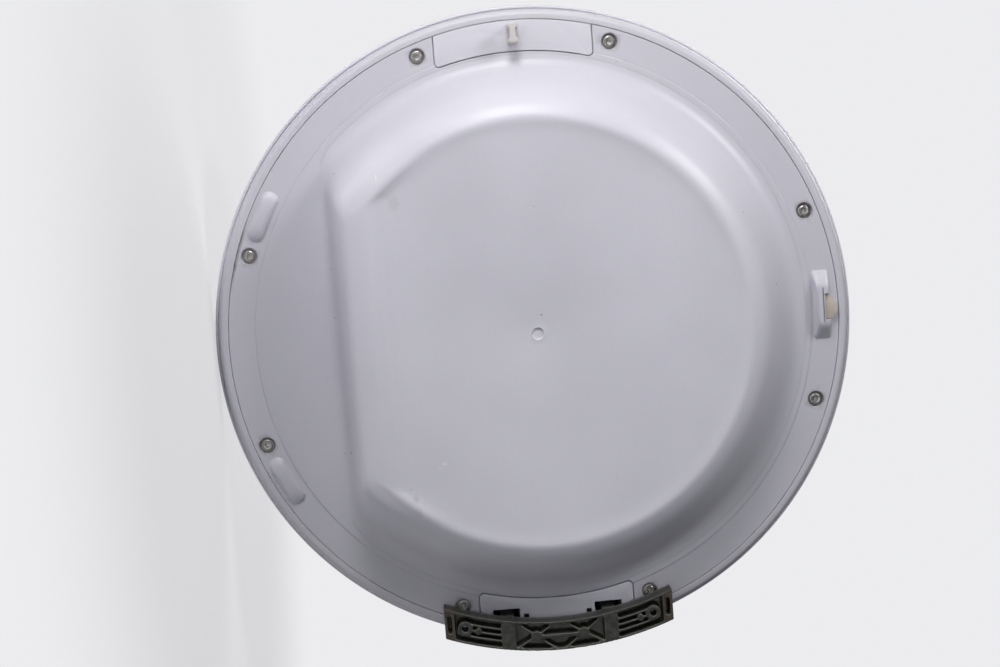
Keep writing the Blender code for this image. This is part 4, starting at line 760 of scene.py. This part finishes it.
def bulge_rings():
    """Guide rings of the bulge from its foot to the edge of the dish, as (x, z, rise) points."""
    rings = []
    for arc, chord, corner, arc_rise, chord_rise in BULGE_GUIDES:
        ring = []
        for x, z in bulge_outline(arc, chord, corner):
            share = min(max((z + chord) / PLATEAU_BLEND, 0.0), 1.0)
            ring.append(Vector((x, z, between(chord_rise, arc_rise, share ** 2 * (3 - 2 * share)))))
        rings.append(ring)
    crest = rings[-1]
    for arc, chord, corner, share in BANK_GUIDES:
        fall = share ** 2 * (3 - 2 * share)
        rings.append([Vector((x, z, between(high.z, dish_rise(math.hypot(x, z)), fall)))
                      for (x, z), high in zip(bulge_outline(arc, chord, corner), crest)])
    return rings


def eased(before, start, end, after, share):
    """Point on the smooth curve through start and end, with its neighbours' directions."""
    gap = max((end - start).length, 1e-9)
    lead = (end - before) * (gap / max((end - before).length, 1e-9))
    trail = (after - start) * (gap / max((after - start).length, 1e-9))
    square = share * share
    cube = square * share
    return (start * (2 * cube - 3 * square + 1) + lead * (cube - 2 * square + share)
            + end * (3 * square - 2 * cube) + trail * (cube - square))


def smooth_rings(rings, steps):
    """More rings between the guide rings, eased along each meridian."""
    dense = [rings[0]]
    for index in range(len(rings) - 1):
        before = rings[max(index - 1, 0)]
        after = rings[min(index + 2, len(rings) - 1)]
        for step in range(1, steps + 1):
            share = step / steps
            dense.append([eased(a, b, c, d, share)
                          for a, b, c, d in zip(before, rings[index], rings[index + 1], after)])
    return dense


def panel_shape():
    """Closed panel about the door's centre: the drum-side skin, and a back skin at the wall's thickness."""
    rim = [(PANEL_RADIUS - PANEL_EDGE * (1 - run), -PANEL_EDGE * (1 - rise)) for rise, run in quarter(3)]
    rim += [(radius, 0.0) for radius in RIM_RADII]
    rim += [(STEP_RADIUS - STEP_RISE / 2, STEP_RISE * 0.85), (STEP_RADIUS - STEP_RISE, STEP_RISE)]
    front = [round_ring(radius, rise) for radius, rise in rim]
    step = front[-1]
    foot = bulge_outline(FOOT_ARC, FOOT_CHORD, FOOT_CORNER)
    for share in (0.2, 0.4, 0.6, 0.8, 0.92, 0.98):
        front.append([Vector((between(a.x, b[0], share), between(a.y, b[1], share), STEP_RISE))
                      for a, b in zip(step, foot)])
    back = [[Vector((p.x, p.y, -PANEL_WALL)) for p in ring] for ring in front]
    bulge = smooth_rings(bulge_rings(), 4)
    for index, ring in enumerate(bulge):
        before = bulge[max(index - 2, 0)]
        after = bulge[min(index + 2, len(bulge) - 1)]
        row = []
        for p, a, b in zip(ring, before, after):
            slope = abs(b.z - a.z) / max(math.hypot(b.x - a.x, b.y - a.y), 1e-6)
            row.append(Vector((p.x, p.y, p.z - PANEL_WALL * math.sqrt(1 + min(slope, 1.9) ** 2))))
        front.append(ring)
        back.append(row)
    edge_ring = bulge[-1]
    for share in (0.95, 0.85, 0.7, 0.5, 0.3, 0.15, 0.07):
        ring = [Vector((p.x * share, p.y * share, dish_rise(math.hypot(p.x, p.y) * share)))
                for p in edge_ring]
        front.append(ring)
        back.append([Vector((p.x, p.y, p.z - PANEL_WALL)) for p in ring])
    for radius, rise in ((DIMPLE_RADIUS + 0.0006, dish_rise(DIMPLE_RADIUS)),
                         (DIMPLE_RADIUS, dish_rise(DIMPLE_RADIUS) + 0.00012),
                         (DIMPLE_RADIUS - 0.0005, DISH_CENTRE_RISE - DIMPLE_DEPTH * 0.7),
                         (DIMPLE_RADIUS - 0.0012, DISH_CENTRE_RISE - DIMPLE_DEPTH),
                         (0.0012, DISH_CENTRE_RISE - DIMPLE_DEPTH * 0.9)):
        front.append(round_ring(radius, rise))
        back.append(round_ring(radius, DISH_CENTRE_RISE - PANEL_WALL))
    shape = bmesh.new()
    loops = [[shape.verts.new((p.x, -p.z, p.y)) for p in ring] for ring in back[::-1] + front]
    bridge(shape, loops)
    shape.faces.new(loops[0])
    shape.faces.new(loops[-1])
    bmesh.ops.recalc_face_normals(shape, faces=shape.faces)
    return shape


PANEL_MARKS = ((0.0035, 0.0135, 0.0011, 0.0009, 0.7), (0.004, 0.092, 0.0008, 0.0008, 0.3),
               (-0.096, 0.102, 0.0055, 0.0075, 0.10), (-0.101, 0.108, 0.0060, 0.0035, 0.06),
               (-0.098, -0.112, 0.0028, 0.0042, 0.16), (-0.097, -0.122, 0.0040, 0.0060, 0.08),
               (-0.101, -0.105, 0.0014, 0.0010, 0.18), (0.049, -0.108, 0.0004, 0.0052, 0.10),
               (0.065, -0.085, 0.0004, 0.0060, 0.07), (-0.1445, -0.0800, 0.0010, 0.0010, 0.75),
               (0.0235, 0.2070, 0.0010, 0.0006, 0.4), (0.075, 0.192, 0.0009, 0.0007, 0.4),
               (-0.1383, 0.1266, 0.0009, 0.0009, 0.35), (-0.1478, 0.0570, 0.0009, 0.0009, 0.3),
               (-0.1480, 0.0206, 0.0009, 0.0009, 0.35), (-0.1496, -0.0820, 0.0009, 0.0009, 0.4),
               (0.1558, 0.0755, 0.0009, 0.0009, 0.4), (0.1781, 0.0202, 0.0009, 0.0009, 0.45))
# Two small chip marks, then a painted glint: the thin white line at the inner corner of the D-shaped bulge is
# a painted highlight, not a chip.
PANEL_CHIPS_AND_GLINT = ((-0.0755, -0.0885, 0.0022, 0.0014, 0.9), (-0.0790, -0.0915, 0.0012, 0.0009, 0.5),
               (-0.1070, 0.1215, 0.0010, 0.0045, 0.9))
# The panel is painted lighter on the crest and darker at the rim's level: painted light and painted shade.
panel_plastic = used_plastic("panel_white", LIT_CREST_WHITE, 0.14, 0.36, PANEL_MARKS, PANEL_CHIPS_AND_GLINT, SHADED_RIM_WHITE)
inner_panel = door_object("inner_panel_moulding", panel_shape(), panel_plastic)

RECESS_RADIUS = 0.0060
RECESS_DEPTH = 0.0030
RECESS_LIP = 0.0005
RECESS_DRAFT = 0.97
RECESS_CUT_START_Y = -0.002
PAD_CIRCLE = 0.2186
PAD_SPREAD = SCREW_SPREAD + 0.0307 / PAD_CIRCLE
PAD_LENGTH = 0.0380
PAD_WIDTH = 0.0118
PAD_RISE = 0.0046
PAD_CROWN_INSET = 0.0048
PAD_CROWN_RUN = 0.0160
BOSS_CENTRE_Z = 0.2162
BOSS_LENGTH = 0.0520
BOSS_WIDTH = 0.0112
BOSS_RISE = 0.0070
BOSS_RAMP = 0.0110
BOSS_WALL = 0.0017
BOSS_FLARE = 0.0014
BOSS_EDGE = 0.0021
BOSS_DRAFT = 0.0006
BOSS_CORNER = 0.0026
BOSS_WINDOW_START = 0.0012
BOSS_WINDOW_Y = -0.0009
GUIDE_SCREW_X = 0.0175
GUIDE_SCREW_Z = 0.2055
GUIDE_POST_RADIUS = 0.0034
GUIDE_POST_END_Y = 0.0069
GUIDE_PILOT_RADIUS = 0.0017
GUIDE_PILOT_START_Y = 0.0017
SCREW_PILOT_START_Y = 0.0012
PANEL_BORE_END_Y = 0.012


def stadium(length, width, steps=14):
    """Long outline with round ends, along the first axis."""
    half = length / 2 - width / 2
    right = arc_points((half, 0.0), width / 2, steps, -math.pi / 2, math.pi)
    left = arc_points((-half, 0.0), width / 2, steps, math.pi / 2, math.pi)
    return right + left


def add_pad(shape, angle):
    """Pillow-shaped support pad on the rim, its long side along the edge."""
    turn = Matrix.Rotation(angle + math.pi / 2, 2)
    centre = Vector(polar(PAD_CIRCLE, angle))
    levels = [(0.0, 0.0, -PANEL_WALL / 2), (-0.0010, -0.0010, -0.0001), (-0.0004, -0.0004, 0.0003)]
    levels += [(PAD_CROWN_INSET * (1 - run), PAD_CROWN_RUN * (1 - run), PAD_RISE * rise)
               for rise, run in quarter(16, 2)]
    plans = [stadium(PAD_LENGTH - 2 * run, PAD_WIDTH - 2 * inset) for inset, run, _ in levels]
    outlines = [[centre + turn @ Vector(point) for point in plan] for plan in plans]
    return add_stack(shape, outlines, [-rise for _, _, rise in levels])


def boss_outline(level, inset=0.0):
    """Outline of the latch boss at a level: ramps at its ends and a wide fillet on its inner side."""
    share = level / BOSS_RISE
    corner = BOSS_CORNER + BOSS_DRAFT * share
    side = BOSS_WIDTH / 2 - BOSS_DRAFT * share - inset
    half = BOSS_LENGTH / 2 - BOSS_RAMP * share - inset - corner
    low = BOSS_CENTRE_Z - side - BOSS_FLARE * (1 - share) ** 2 + corner
    high = BOSS_CENTRE_Z + side - corner
    outline = []
    for number, centre in enumerate(((half, high), (-half, high), (-half, low), (half, low))):
        outline += arc_points(centre, corner, 6, number * math.pi / 2, math.pi / 2)
    return outline


def cavity_outline(level):
    """Outline of the hollow inside the boss at a level."""
    share = level / BOSS_RISE
    half = BOSS_LENGTH / 2 - BOSS_RAMP * share - BOSS_WALL
    side = BOSS_WIDTH / 2 - BOSS_DRAFT * share - BOSS_WALL
    return [(-half, BOSS_CENTRE_Z - side), (half, BOSS_CENTRE_Z - side),
            (half, BOSS_CENTRE_Z + side), (-half, BOSS_CENTRE_Z + side)]


def add_recess(shape, centre):
    """Screw recess with a rounded mouth and slight draft."""
    profile = [(RECESS_RADIUS + RECESS_LIP, RECESS_CUT_START_Y)]
    profile += [(RECESS_RADIUS + RECESS_LIP * (1 - rise), RECESS_LIP * (1 - run)) for rise, run in quarter(5)]
    profile += [(RECESS_RADIUS * RECESS_DRAFT, RECESS_DEPTH)]
    return add_stack(shape, [arc_points(centre, radius, 48) for radius, _ in profile],
                     [depth for _, depth in profile])


PLATE_HALF_WIDTH = 0.0582
PLATE_INNER_RADIUS = 0.2060
PLATE_CORNER = 0.0030
SEAM_GAP = 0.0009
SEAM_EDGE = 0.0004


def plate_outline(grow, outer):
    """Outline of an edge plate on the +X side: arcs about the door's centre and rounded inner corners."""
    half = PLATE_HALF_WIDTH + grow
    inner = PLATE_INNER_RADIUS - grow
    corner = PLATE_CORNER + grow
    centre_z = half - corner
    centre_x = math.sqrt((inner + corner) ** 2 - centre_z ** 2)
    lean = math.atan2(centre_z, centre_x)
    upper = arc_points((centre_x, centre_z), corner, 8, math.pi + lean, -(math.pi / 2 + lean))
    side = math.asin(half / outer)
    outside = arc_points((0.0, 0.0), outer, 48, side, -2 * side)
    inside = arc_points((0.0, 0.0), inner, 44, -lean, 2 * lean)
    lower = [(x, -z) for x, z in reversed(upper)]
    return inside[1:-1] + upper + outside + lower


def add_notch(shape, side):
    """Notch in the rim for an edge plate, with slightly rounded edges."""
    outer = PANEL_RADIUS + 2 * PANEL_WALL
    levels = [(SEAM_EDGE, -PANEL_WALL)]
    levels += [(SEAM_EDGE * (1 - rise), SEAM_EDGE * (1 - run)) for rise, run in quarter(3)]
    levels += [(0.0, 2 * PANEL_WALL)]
    outlines = [[(side * x, z) for x, z in plate_outline(SEAM_GAP + grow, outer)] for grow, _ in levels]
    return add_stack(shape, outlines, [depth for _, depth in levels])


additions = bmesh.new()
cuts = bmesh.new()
bores = bmesh.new()
for place in screw_places():
    add_post(additions, place, CUP_RADIUS, PANEL_WALL / 2, RECESS_DEPTH + PANEL_WALL)
    add_recess(cuts, place)
    add_post(bores, place, SCREW_HOLE_RADIUS, SCREW_PILOT_START_Y, PANEL_BORE_END_Y, 24)
for side in (-1, 1):
    add_pad(additions, -math.pi / 2 + side * PAD_SPREAD)
    post = (side * GUIDE_SCREW_X, GUIDE_SCREW_Z)
    add_post(additions, post, GUIDE_POST_RADIUS, PANEL_WALL / 2, GUIDE_POST_END_Y, 36)
    add_post(bores, post, GUIDE_PILOT_RADIUS, GUIDE_PILOT_START_Y, PANEL_BORE_END_Y, 24)
    add_notch(cuts, side)
boss_levels = [(level, 0.0) for level in (0.0, 0.0004, 0.0010, 0.0018, 0.0027, 0.0038, BOSS_RISE - BOSS_EDGE)]
boss_levels += [(BOSS_RISE - BOSS_EDGE * (1 - rise), BOSS_EDGE * (1 - run)) for rise, run in quarter(5, 1)]
add_stack(additions, [boss_outline(0.0)] + [boss_outline(level, inset) for level, inset in boss_levels],
          [PANEL_WALL / 2] + [-level for level, _ in boss_levels])
ceiling = BOSS_RISE - BOSS_WALL
add_stack(cuts, [cavity_outline(0.0), cavity_outline(0.0), cavity_outline(ceiling)],
          [2 * PANEL_WALL, 0.0, -ceiling])
tongue_low, tongue_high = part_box("latch_tongue")
tongue_low = tongue_low - DOOR_CENTRE
tongue_high = tongue_high - DOOR_CENTRE
add_block(bores, (tongue_low.x - SEAT_GAP, -2 * BOSS_RISE, BOSS_CENTRE_Z + BOSS_WINDOW_START),
          (tongue_high.x + SEAT_GAP, BOSS_WINDOW_Y, BOSS_CENTRE_Z + BOSS_WIDTH))
carve(inner_panel, additions, "UNION")
carve(inner_panel, cuts)
carve(inner_panel, bores)


def foot_gap(place):
    """Distance outwards from the D-shaped foot line of the bulge."""
    across = FOOT_CORNER - FOOT_CHORD
    along = math.sqrt((FOOT_ARC - FOOT_CORNER) ** 2 - across ** 2)
    side = abs(place.x)
    if math.atan2(place.z, side) >= math.atan2(across, along):
        return math.hypot(side, place.z) - FOOT_ARC
    if side <= along:
        return -place.z - FOOT_CHORD
    return math.hypot(side - along, place.z - across) - FOOT_CORNER


STREAK_X = -0.0720
STREAK_REACH = 0.0300
STREAK_WIDTH = 0.0018
STREAK_DEPTH = 2.0
FOOT_DIRT_LIMIT_Z = 0.004 - FOOT_CHORD


def panel_grime(place):
    """Dirt lines at the step and the foot of the bulge, in the recesses and along the edges."""
    distance = math.hypot(place.x, place.z)
    step = 0.20 * band(distance, STEP_RADIUS, 0.0007)
    edge_line = 0.2 * band(distance, PANEL_RADIUS, 0.0006) if place.y > 0.0002 else 0.0
    streak = 0.0
    if place.z < 0:
        streak = STREAK_DEPTH * band(distance, PANEL_RADIUS, STREAK_WIDTH)
        streak *= band(place.x, STREAK_X, STREAK_REACH)
    recess = 0.0
    for centre in screw_places():
        gap = math.hypot(place.x - centre[0], place.z - centre[1])
        if gap < CUP_RADIUS:
            recess = 0.70 if place.y > 0.0006 else 0.45 * band(gap, RECESS_RADIUS + 0.0003, 0.0010)
    foot = 0.0
    if place.y < 0.0 and place.z > FOOT_DIRT_LIMIT_Z:
        foot = 0.16 * band(foot_gap(place), 0.0, 0.0013)
    return max(step, edge_line, streak, recess, foot)


paint_grime(inner_panel, panel_grime)
smooth(inner_panel)
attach(inner_panel, "door")
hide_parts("inner_panel")

# Edge plates
# Two white cover plates that clip into the rim: one with slots and small square windows for the hinge arms,
# and one that carries the catch peg.  Their edges are slightly rounded and the seams hold dirt.
plate_plastic = used_plastic("plate_white", WHITE, 0.20, 0.28)
CLIP_LEG = (0.0009, 0.0025)
CLIP_END_Y = FLANGE_BACK_Y + 0.0032
PLATE_FACE_Y = 0.00025


def plate_grime(place):
    """Dirt along the plate's edges, behind its face."""
    return 0.25 if place.y >= PLATE_FACE_Y else 0.0


def edge_plate(name, node, side):
    """One edge plate with its clips; side picks the hinge side or the catch side."""
    outline = [(side * x, z) for x, z in plate_outline(0.0, PANEL_RADIUS)]
    plate = slab_object(name, outline, 0.0, PANEL_WALL, plate_plastic)
    if side > 0:
        carve(plate, arm_slots(bmesh.new()))
        carve(plate, add_peeps(bmesh.new(), -PANEL_WALL, 2 * PANEL_WALL))
    else:
        carve(plate, add_post(bmesh.new(), (PEG_X, 0.0), PEG_BORE_RADIUS, -PANEL_WALL, 2 * PANEL_WALL))
    round_edges(plate, SEAM_EDGE, 3, 60.0)
    carve(plate, add_clips(bmesh.new(), side, CLIP_LEG, PANEL_WALL / 2, CLIP_END_Y), "UNION")
    paint_grime(plate, plate_grime)
    smooth(plate)
    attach(plate, "door")
    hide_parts(node)


edge_plate("hinge_side_plate", "hinge_edge_plate", 1)
edge_plate("catch_side_plate", "catch_edge_plate", -1)

# Catch peg
# The I-shaped peg that the machine's spring catch grips, moulded in a warmer white nylon that has yellowed,
# clamped from behind by a screw.  Its flanges are softly rounded and worn.
WARM_WHITE = (0.79, 0.755, 0.75)
PEG_LENGTH = 0.0144
PEG_WIDTH = 0.0080
PEG_WEB = 0.0042
PEG_FLANGE = 0.0026
PEG_HEIGHT = 0.0150
PEG_ROUNDING = 0.0009
PEG_BORE_DEPTH = 0.0083
peg_plastic = used_plastic("peg_warm_white", WARM_WHITE, 0.35, 0.36)


def peg_outline():
    """I-shaped section with tapered shoulders, about the peg's own axis."""
    long_half = PEG_LENGTH / 2
    half = PEG_WIDTH / 2
    web = PEG_WEB / 2
    lower = [(long_half - 1.5 * PEG_FLANGE, -web), (long_half - PEG_FLANGE, -half), (long_half, -half)]
    right = lower + [(x, -z) for x, z in reversed(lower)]
    return [(PEG_X + x, z) for x, z in right + [(-x, -z) for x, z in right]]


peg = slab_object("catch_peg_moulding", peg_outline(), -SEAT_GAP, -PEG_HEIGHT - SEAT_GAP, peg_plastic)
round_edges(peg, PEG_ROUNDING, 5, 25.0)
carve(peg, add_post(bmesh.new(), (PEG_X, 0.0), PEG_BORE_RADIUS, 0.001, -PEG_BORE_DEPTH))


def peg_grime(place):
    """Dirt at the peg's foot and rubbing on its edges."""
    foot = 0.5 * band(place.y, 0.0, 0.003)
    return max(foot, 0.12 if place.y < -PEG_HEIGHT + 0.0006 else 0.0)


paint_grime(peg, peg_grime)
smooth(peg, 40.0)
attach(peg, "door")
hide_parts("catch_peg")

# Panel screws
# Eight zinc-plated pan-head screws with a round socket that clamp the panel, the ring and the cover.  One
# screw is turned from its section and placed at each recess by Geometry Nodes.
HEAD_RADIUS = 0.0047
HEAD_HEIGHT = 0.0024
SHANK_RADIUS = 0.0020
SCREW_LENGTH = 0.0140
SOCKET_RADIUS = 0.0016
THREAD_PITCH = 0.0014
THREAD_TURNS = 7
SCREW_STEPS = 40


def metal(name, colour, roughness, dull_colour, dull_share, metallic=1.0):
    """Metal, dulled in patches and where its vertex attribute says so, and with fine wear in its roughness.
    """
    material, tree, shader, place = new_material(name)
    cloud = noise_socket(tree, place, 210.0, 5.0, 0.6)
    grime_and_painted_light = add_node(tree, "ShaderNodeAttribute", attribute_name="grime_and_painted_light").outputs["Fac"]
    dulled_part = math_socket(tree, "MULTIPLY", ramp_socket(tree, cloud, 0.38, 0.66), dull_share)
    # The attribute dulls more: dirt on the screws, and on the bracket painted light round the pan's floor and
    # worn edges.
    dulled_part = math_socket(tree, "MAXIMUM", dulled_part, grime_and_painted_light)
    worn = ramp_socket(tree, cloud, 0.3, 0.7, roughness - 0.08, roughness + 0.12)
    fine = bump_socket(tree, noise_socket(tree, place, GRAIN_SCALE), 0.00008, 0.2)
    feed(shader, {"Base Color": mix_colour(tree, dulled_part, colour, dull_colour), "Metallic": metallic,
                  "Roughness": worn, "Normal": fine})
    return material


steel = metal("plated_steel_dulled", (0.68, 0.67, 0.65), 0.34, (0.34, 0.31, 0.27), 0.5)
screw_section = [(0.0, RECESS_DEPTH - SEAT_GAP + SCREW_LENGTH), (SHANK_RADIUS * 0.5, RECESS_DEPTH + 0.0135),
                 (SHANK_RADIUS, RECESS_DEPTH + 0.0118)]
for turn in range(THREAD_TURNS):
    y = RECESS_DEPTH + 0.0112 - turn * THREAD_PITCH
    screw_section += [(SHANK_RADIUS, y), (SHANK_RADIUS * 0.74, y - THREAD_PITCH * 0.45)]
seat_y = RECESS_DEPTH - SEAT_GAP
head_section = ((SHANK_RADIUS, -0.0012), (SHANK_RADIUS, 0.0), (HEAD_RADIUS - 0.0002, 0.0),
                (HEAD_RADIUS, 0.0002), (HEAD_RADIUS, 0.0007), (HEAD_RADIUS * 0.96, 0.0010),
                (HEAD_RADIUS * 0.80, 0.0011),
                (HEAD_RADIUS * 0.72, 0.0014), (HEAD_RADIUS * 0.70, HEAD_HEIGHT * 0.86),
                (HEAD_RADIUS * 0.64, HEAD_HEIGHT), (SOCKET_RADIUS + 0.0004, HEAD_HEIGHT),
                (SOCKET_RADIUS, HEAD_HEIGHT - 0.0002), (SOCKET_RADIUS * 0.94, HEAD_HEIGHT * 0.35),
                (SOCKET_RADIUS * 0.5, HEAD_HEIGHT * 0.30), (0.0, HEAD_HEIGHT * 0.42))
screw_section += [(radius, seat_y - rise) for radius, rise in head_section]


def screw_shape():
    """One screw, turned about its own axis, its head towards -Y."""
    shape = bmesh.new()
    rings = []
    for radius, y in screw_section:
        if radius:
            circle = arc_points((0.0, 0.0), radius, SCREW_STEPS)
            rings.append([shape.verts.new((x, y, z)) for x, z in circle])
        else:
            rings.append([shape.verts.new((0.0, y, 0.0))] * SCREW_STEPS)
    bridge(shape, rings)
    bmesh.ops.recalc_face_normals(shape, faces=shape.faces)
    return shape


def screw_rule():
    """Geometry Nodes tree that sets one screw on every point, each turned a little differently."""
    tree, given = rule_tree("screws_on_points", "screws", places="Geometry", screw="Object", seed="Int",
                            material="Material")
    source = add_node(tree, "GeometryNodeObjectInfo", {"Object": given["screw"]}, transform_space="ORIGINAL")
    turn = add_node(tree, "FunctionNodeRandomValue", {"Seed": given["seed"]}, data_type="FLOAT")
    limits = [socket for socket in turn.inputs if socket.type == "VALUE"]
    limits[0].default_value = 0.0
    limits[1].default_value = 2 * math.pi
    angle = [socket for socket in turn.outputs if socket.type == "VALUE"][0]
    rotation = add_node(tree, "ShaderNodeCombineXYZ", {"Y": angle})
    placed = add_node(tree, "GeometryNodeInstanceOnPoints",
                      {"Points": given["places"], "Instance": source.outputs["Geometry"],
                       "Rotation": rotation.outputs[0]})
    end_rule(tree, placed.outputs[0], given["material"])
    return tree


one_screw = door_object("one_screw", screw_shape(), steel, Vector())
places = bmesh.new()
for x, z in screw_places():
    places.verts.new((x, 0.0, z))
panel_screws = door_object("panel_screws", places, steel)
apply_rule(panel_screws, screw_rule(), screw=one_screw, seed=4, material=steel)
bpy.data.objects.remove(one_screw)


def screw_grime(place):
    """Dirt in the socket and round the foot of the head."""
    gap = min(math.hypot(place.x - x, place.z - z) for x, z in screw_places())
    if SOCKET_RADIUS * 0.6 < gap < SOCKET_RADIUS * 1.02 and place.y > seat_y - HEAD_HEIGHT + 0.0002:
        return 0.85
    if HEAD_RADIUS * 0.74 < gap and place.y > seat_y - 0.0013:
        return 0.45
    return 0.0


paint_grime(panel_screws, screw_grime)
smooth(panel_screws, 35.0)
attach(panel_screws, "door")
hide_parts(*[f"panel_screw_{number}" for number in range(1, 9)])

# Latch
# The sprung tongue, moulded in ivory acetal, slides in the boss.  Its guide, spring and two small screws sit
# behind the panel and keep their solids.
IVORY = (0.67, 0.60, 0.52)
TONGUE_CENTRE_X = 0.0012
TONGUE_WIDTH = 0.0188
TONGUE_REACH = 0.0098
TONGUE_THICKNESS = 0.0036
TONGUE_FLOOR_Y = -0.0012
TAIL_THICKNESS = 0.0038
TAIL_FRONT_Y = 0.0031
WEB_LENGTH = 0.0155
WEB_INSET = 0.0001
NOSE_ROUNDING = 0.0003
NOSE_PLAN = ((0.00, 0.00), (1.00, 0.00), (1.00, 0.36), (0.80, 0.92), (0.66, 1.00), (0.46, 1.00), (0.37, 0.91),
             (0.03, 0.34), (0.00, 0.26))
tongue_back_z = tongue_high.z - TONGUE_REACH
ivory = used_plastic("tongue_ivory", IVORY, 0.5, 0.42)


left_x = TONGUE_CENTRE_X - TONGUE_WIDTH / 2
right_x = TONGUE_CENTRE_X + TONGUE_WIDTH / 2
web_end_z = tongue_low.z + WEB_LENGTH
nose_outline = [(between(left_x, right_x, across), tongue_back_z + TONGUE_REACH * reach)
                for across, reach in NOSE_PLAN]
nose_end_y = TONGUE_FLOOR_Y - TONGUE_THICKNESS
tongue = slab_object("latch_tongue_moulding", nose_outline, TONGUE_FLOOR_Y, nose_end_y, ivory)
round_edges(tongue, NOSE_ROUNDING, 3, 20.0)
nose_middle_y = (TONGUE_FLOOR_Y + nose_end_y) / 2
web = add_block(bmesh.new(), (left_x + WEB_INSET, nose_middle_y, tongue_back_z + WEB_INSET),
                (right_x - WEB_INSET, TAIL_FRONT_Y + TAIL_THICKNESS / 2, web_end_z - WEB_INSET))
tail = add_block(bmesh.new(), (left_x, TAIL_FRONT_Y, tongue_low.z),
                 (right_x, TAIL_FRONT_Y + TAIL_THICKNESS, web_end_z))
carve(tongue, web, "UNION")
carve(tongue, tail, "UNION")


def tongue_grime(place):
    """Rubbing dirt at the nose's foot and along its flank."""
    return 0.45 * band(place.z, tongue_back_z, 0.0016)


paint_grime(tongue, tongue_grime)
smooth(tongue, 40.0)
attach(tongue, "latch")
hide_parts("latch_tongue")

NYLON = (0.70, 0.68, 0.60)
nylon = used_plastic("natural_nylon", NYLON, 0.3, 0.45)
bright_steel = metal("plated_steel_clean", (0.58, 0.58, 0.57), 0.30, (0.30, 0.29, 0.27), 0.4)
for name in ("latch_guide", "hinge_bush_lower", "hinge_bush_upper"):
    nodes[name].data.materials.clear()
    nodes[name].data.materials.append(nylon)

# Hinge carrier, pins and small screws
# A bent steel plate with ears behind the ring, held by three screws, with two plain pins that run in nylon
# bushes.  All are zinc plated and keep their solids.
STEEL_NODES = ("guide_screw_1", "guide_screw_2", "latch_spring", "hinge_carrier", "carrier_screw_1",
               "carrier_screw_2", "carrier_screw_3", "hinge_pin_lower", "hinge_pin_upper", "peg_screw")
for name in STEEL_NODES:
    nodes[name].data.materials.clear()
    nodes[name].data.materials.append(bright_steel)

# Hinge bracket
# The machine-side half of the hinge, a zinc die casting with a ribbed crescent pan, two bosses and two arms.
# A copy of the solid is remeshed and smoothed, which rounds its edges.  A pale dusty grey round the pan's
# floor is painted light for the light that its deep pockets lack; the rib tops are worn bright, and rust
# tints the ends.
BRACKET_VOXEL = 0.0006
PAN_DEPTH = 0.0135
PAN_LIGHT_REACH = 0.0050
RIB_TOP = 0.0014
# Pale dusty grey: the zinc's dull patches, its worn edges, and painted light round the pan's floor.
DUST_AND_PAN_LIGHT = (0.30, 0.295, 0.255)
zinc = metal("zinc_casting_dust_and_painted_light", (0.070, 0.075, 0.064), 0.52, DUST_AND_PAN_LIGHT, 0.22, 0.5)
RUST = (0.17, 0.105, 0.065)
RUST_START_Z = 0.070
RUST_FULL_Z = 0.085
zinc_tree = zinc.node_tree
zinc_shader = zinc_tree.nodes["Principled BSDF"]
bare = zinc_shader.inputs["Base Color"].links[0].from_socket
zinc_place = add_node(zinc_tree, "ShaderNodeTexCoord").outputs["Object"]
zinc_parts = add_node(zinc_tree, "ShaderNodeSeparateXYZ", {0: zinc_place})
reach = math_socket(zinc_tree, "ABSOLUTE", zinc_parts.outputs["Z"])
ends = ramp_socket(zinc_tree, reach, RUST_START_Z, RUST_FULL_Z, 0.0, 0.8)
bloom = ramp_socket(zinc_tree, noise_socket(zinc_tree, zinc_place, 130.0, 5.0, 0.65), 0.42, 0.62)
rusty = math_socket(zinc_tree, "MULTIPLY", ends, bloom)
feed(zinc_shader, {"Base Color": mix_colour(zinc_tree, rusty, bare, RUST)})
cast = bmesh.new()
cast.from_mesh(nodes["hinge_bracket"].data)
bmesh.ops.remove_doubles(cast, verts=cast.verts, dist=1e-6)
bracket = door_object("hinge_bracket_casting", cast, zinc, Vector())
bracket.data.materials.clear()
bracket.data.materials.append(zinc)
remesh = bracket.modifiers.new("cast_skin", "REMESH")
remesh.mode = "VOXEL"
remesh.voxel_size = BRACKET_VOXEL
soften = bracket.modifiers.new("soften", "SMOOTH")
soften.factor = 0.5
soften.iterations = 6
settle(bracket)
bracket_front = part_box("hinge_bracket")[0].y
# Painted light: a pale dusty colour round the pan's floor stands in for light that the deep pockets don't
# get. The rounded edges near the front are worn bright.
pan_light_and_wear = []
for vertex in bracket.data.vertices:
    depth = vertex.co.y - bracket_front
    worn = 0.95 * band(vertex.normal.y, -0.62, 0.38) if depth < RIB_TOP else 0.0
    pan_light_and_wear.append(max(0.85 * band(depth, PAN_DEPTH, PAN_LIGHT_REACH), worn))
layer = bracket.data.attributes.new("grime_and_painted_light", "FLOAT", "POINT")
layer.data.foreach_set("value", pan_light_and_wear)
bracket.data.shade_smooth()
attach(bracket, "bracket")
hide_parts("hinge_bracket")
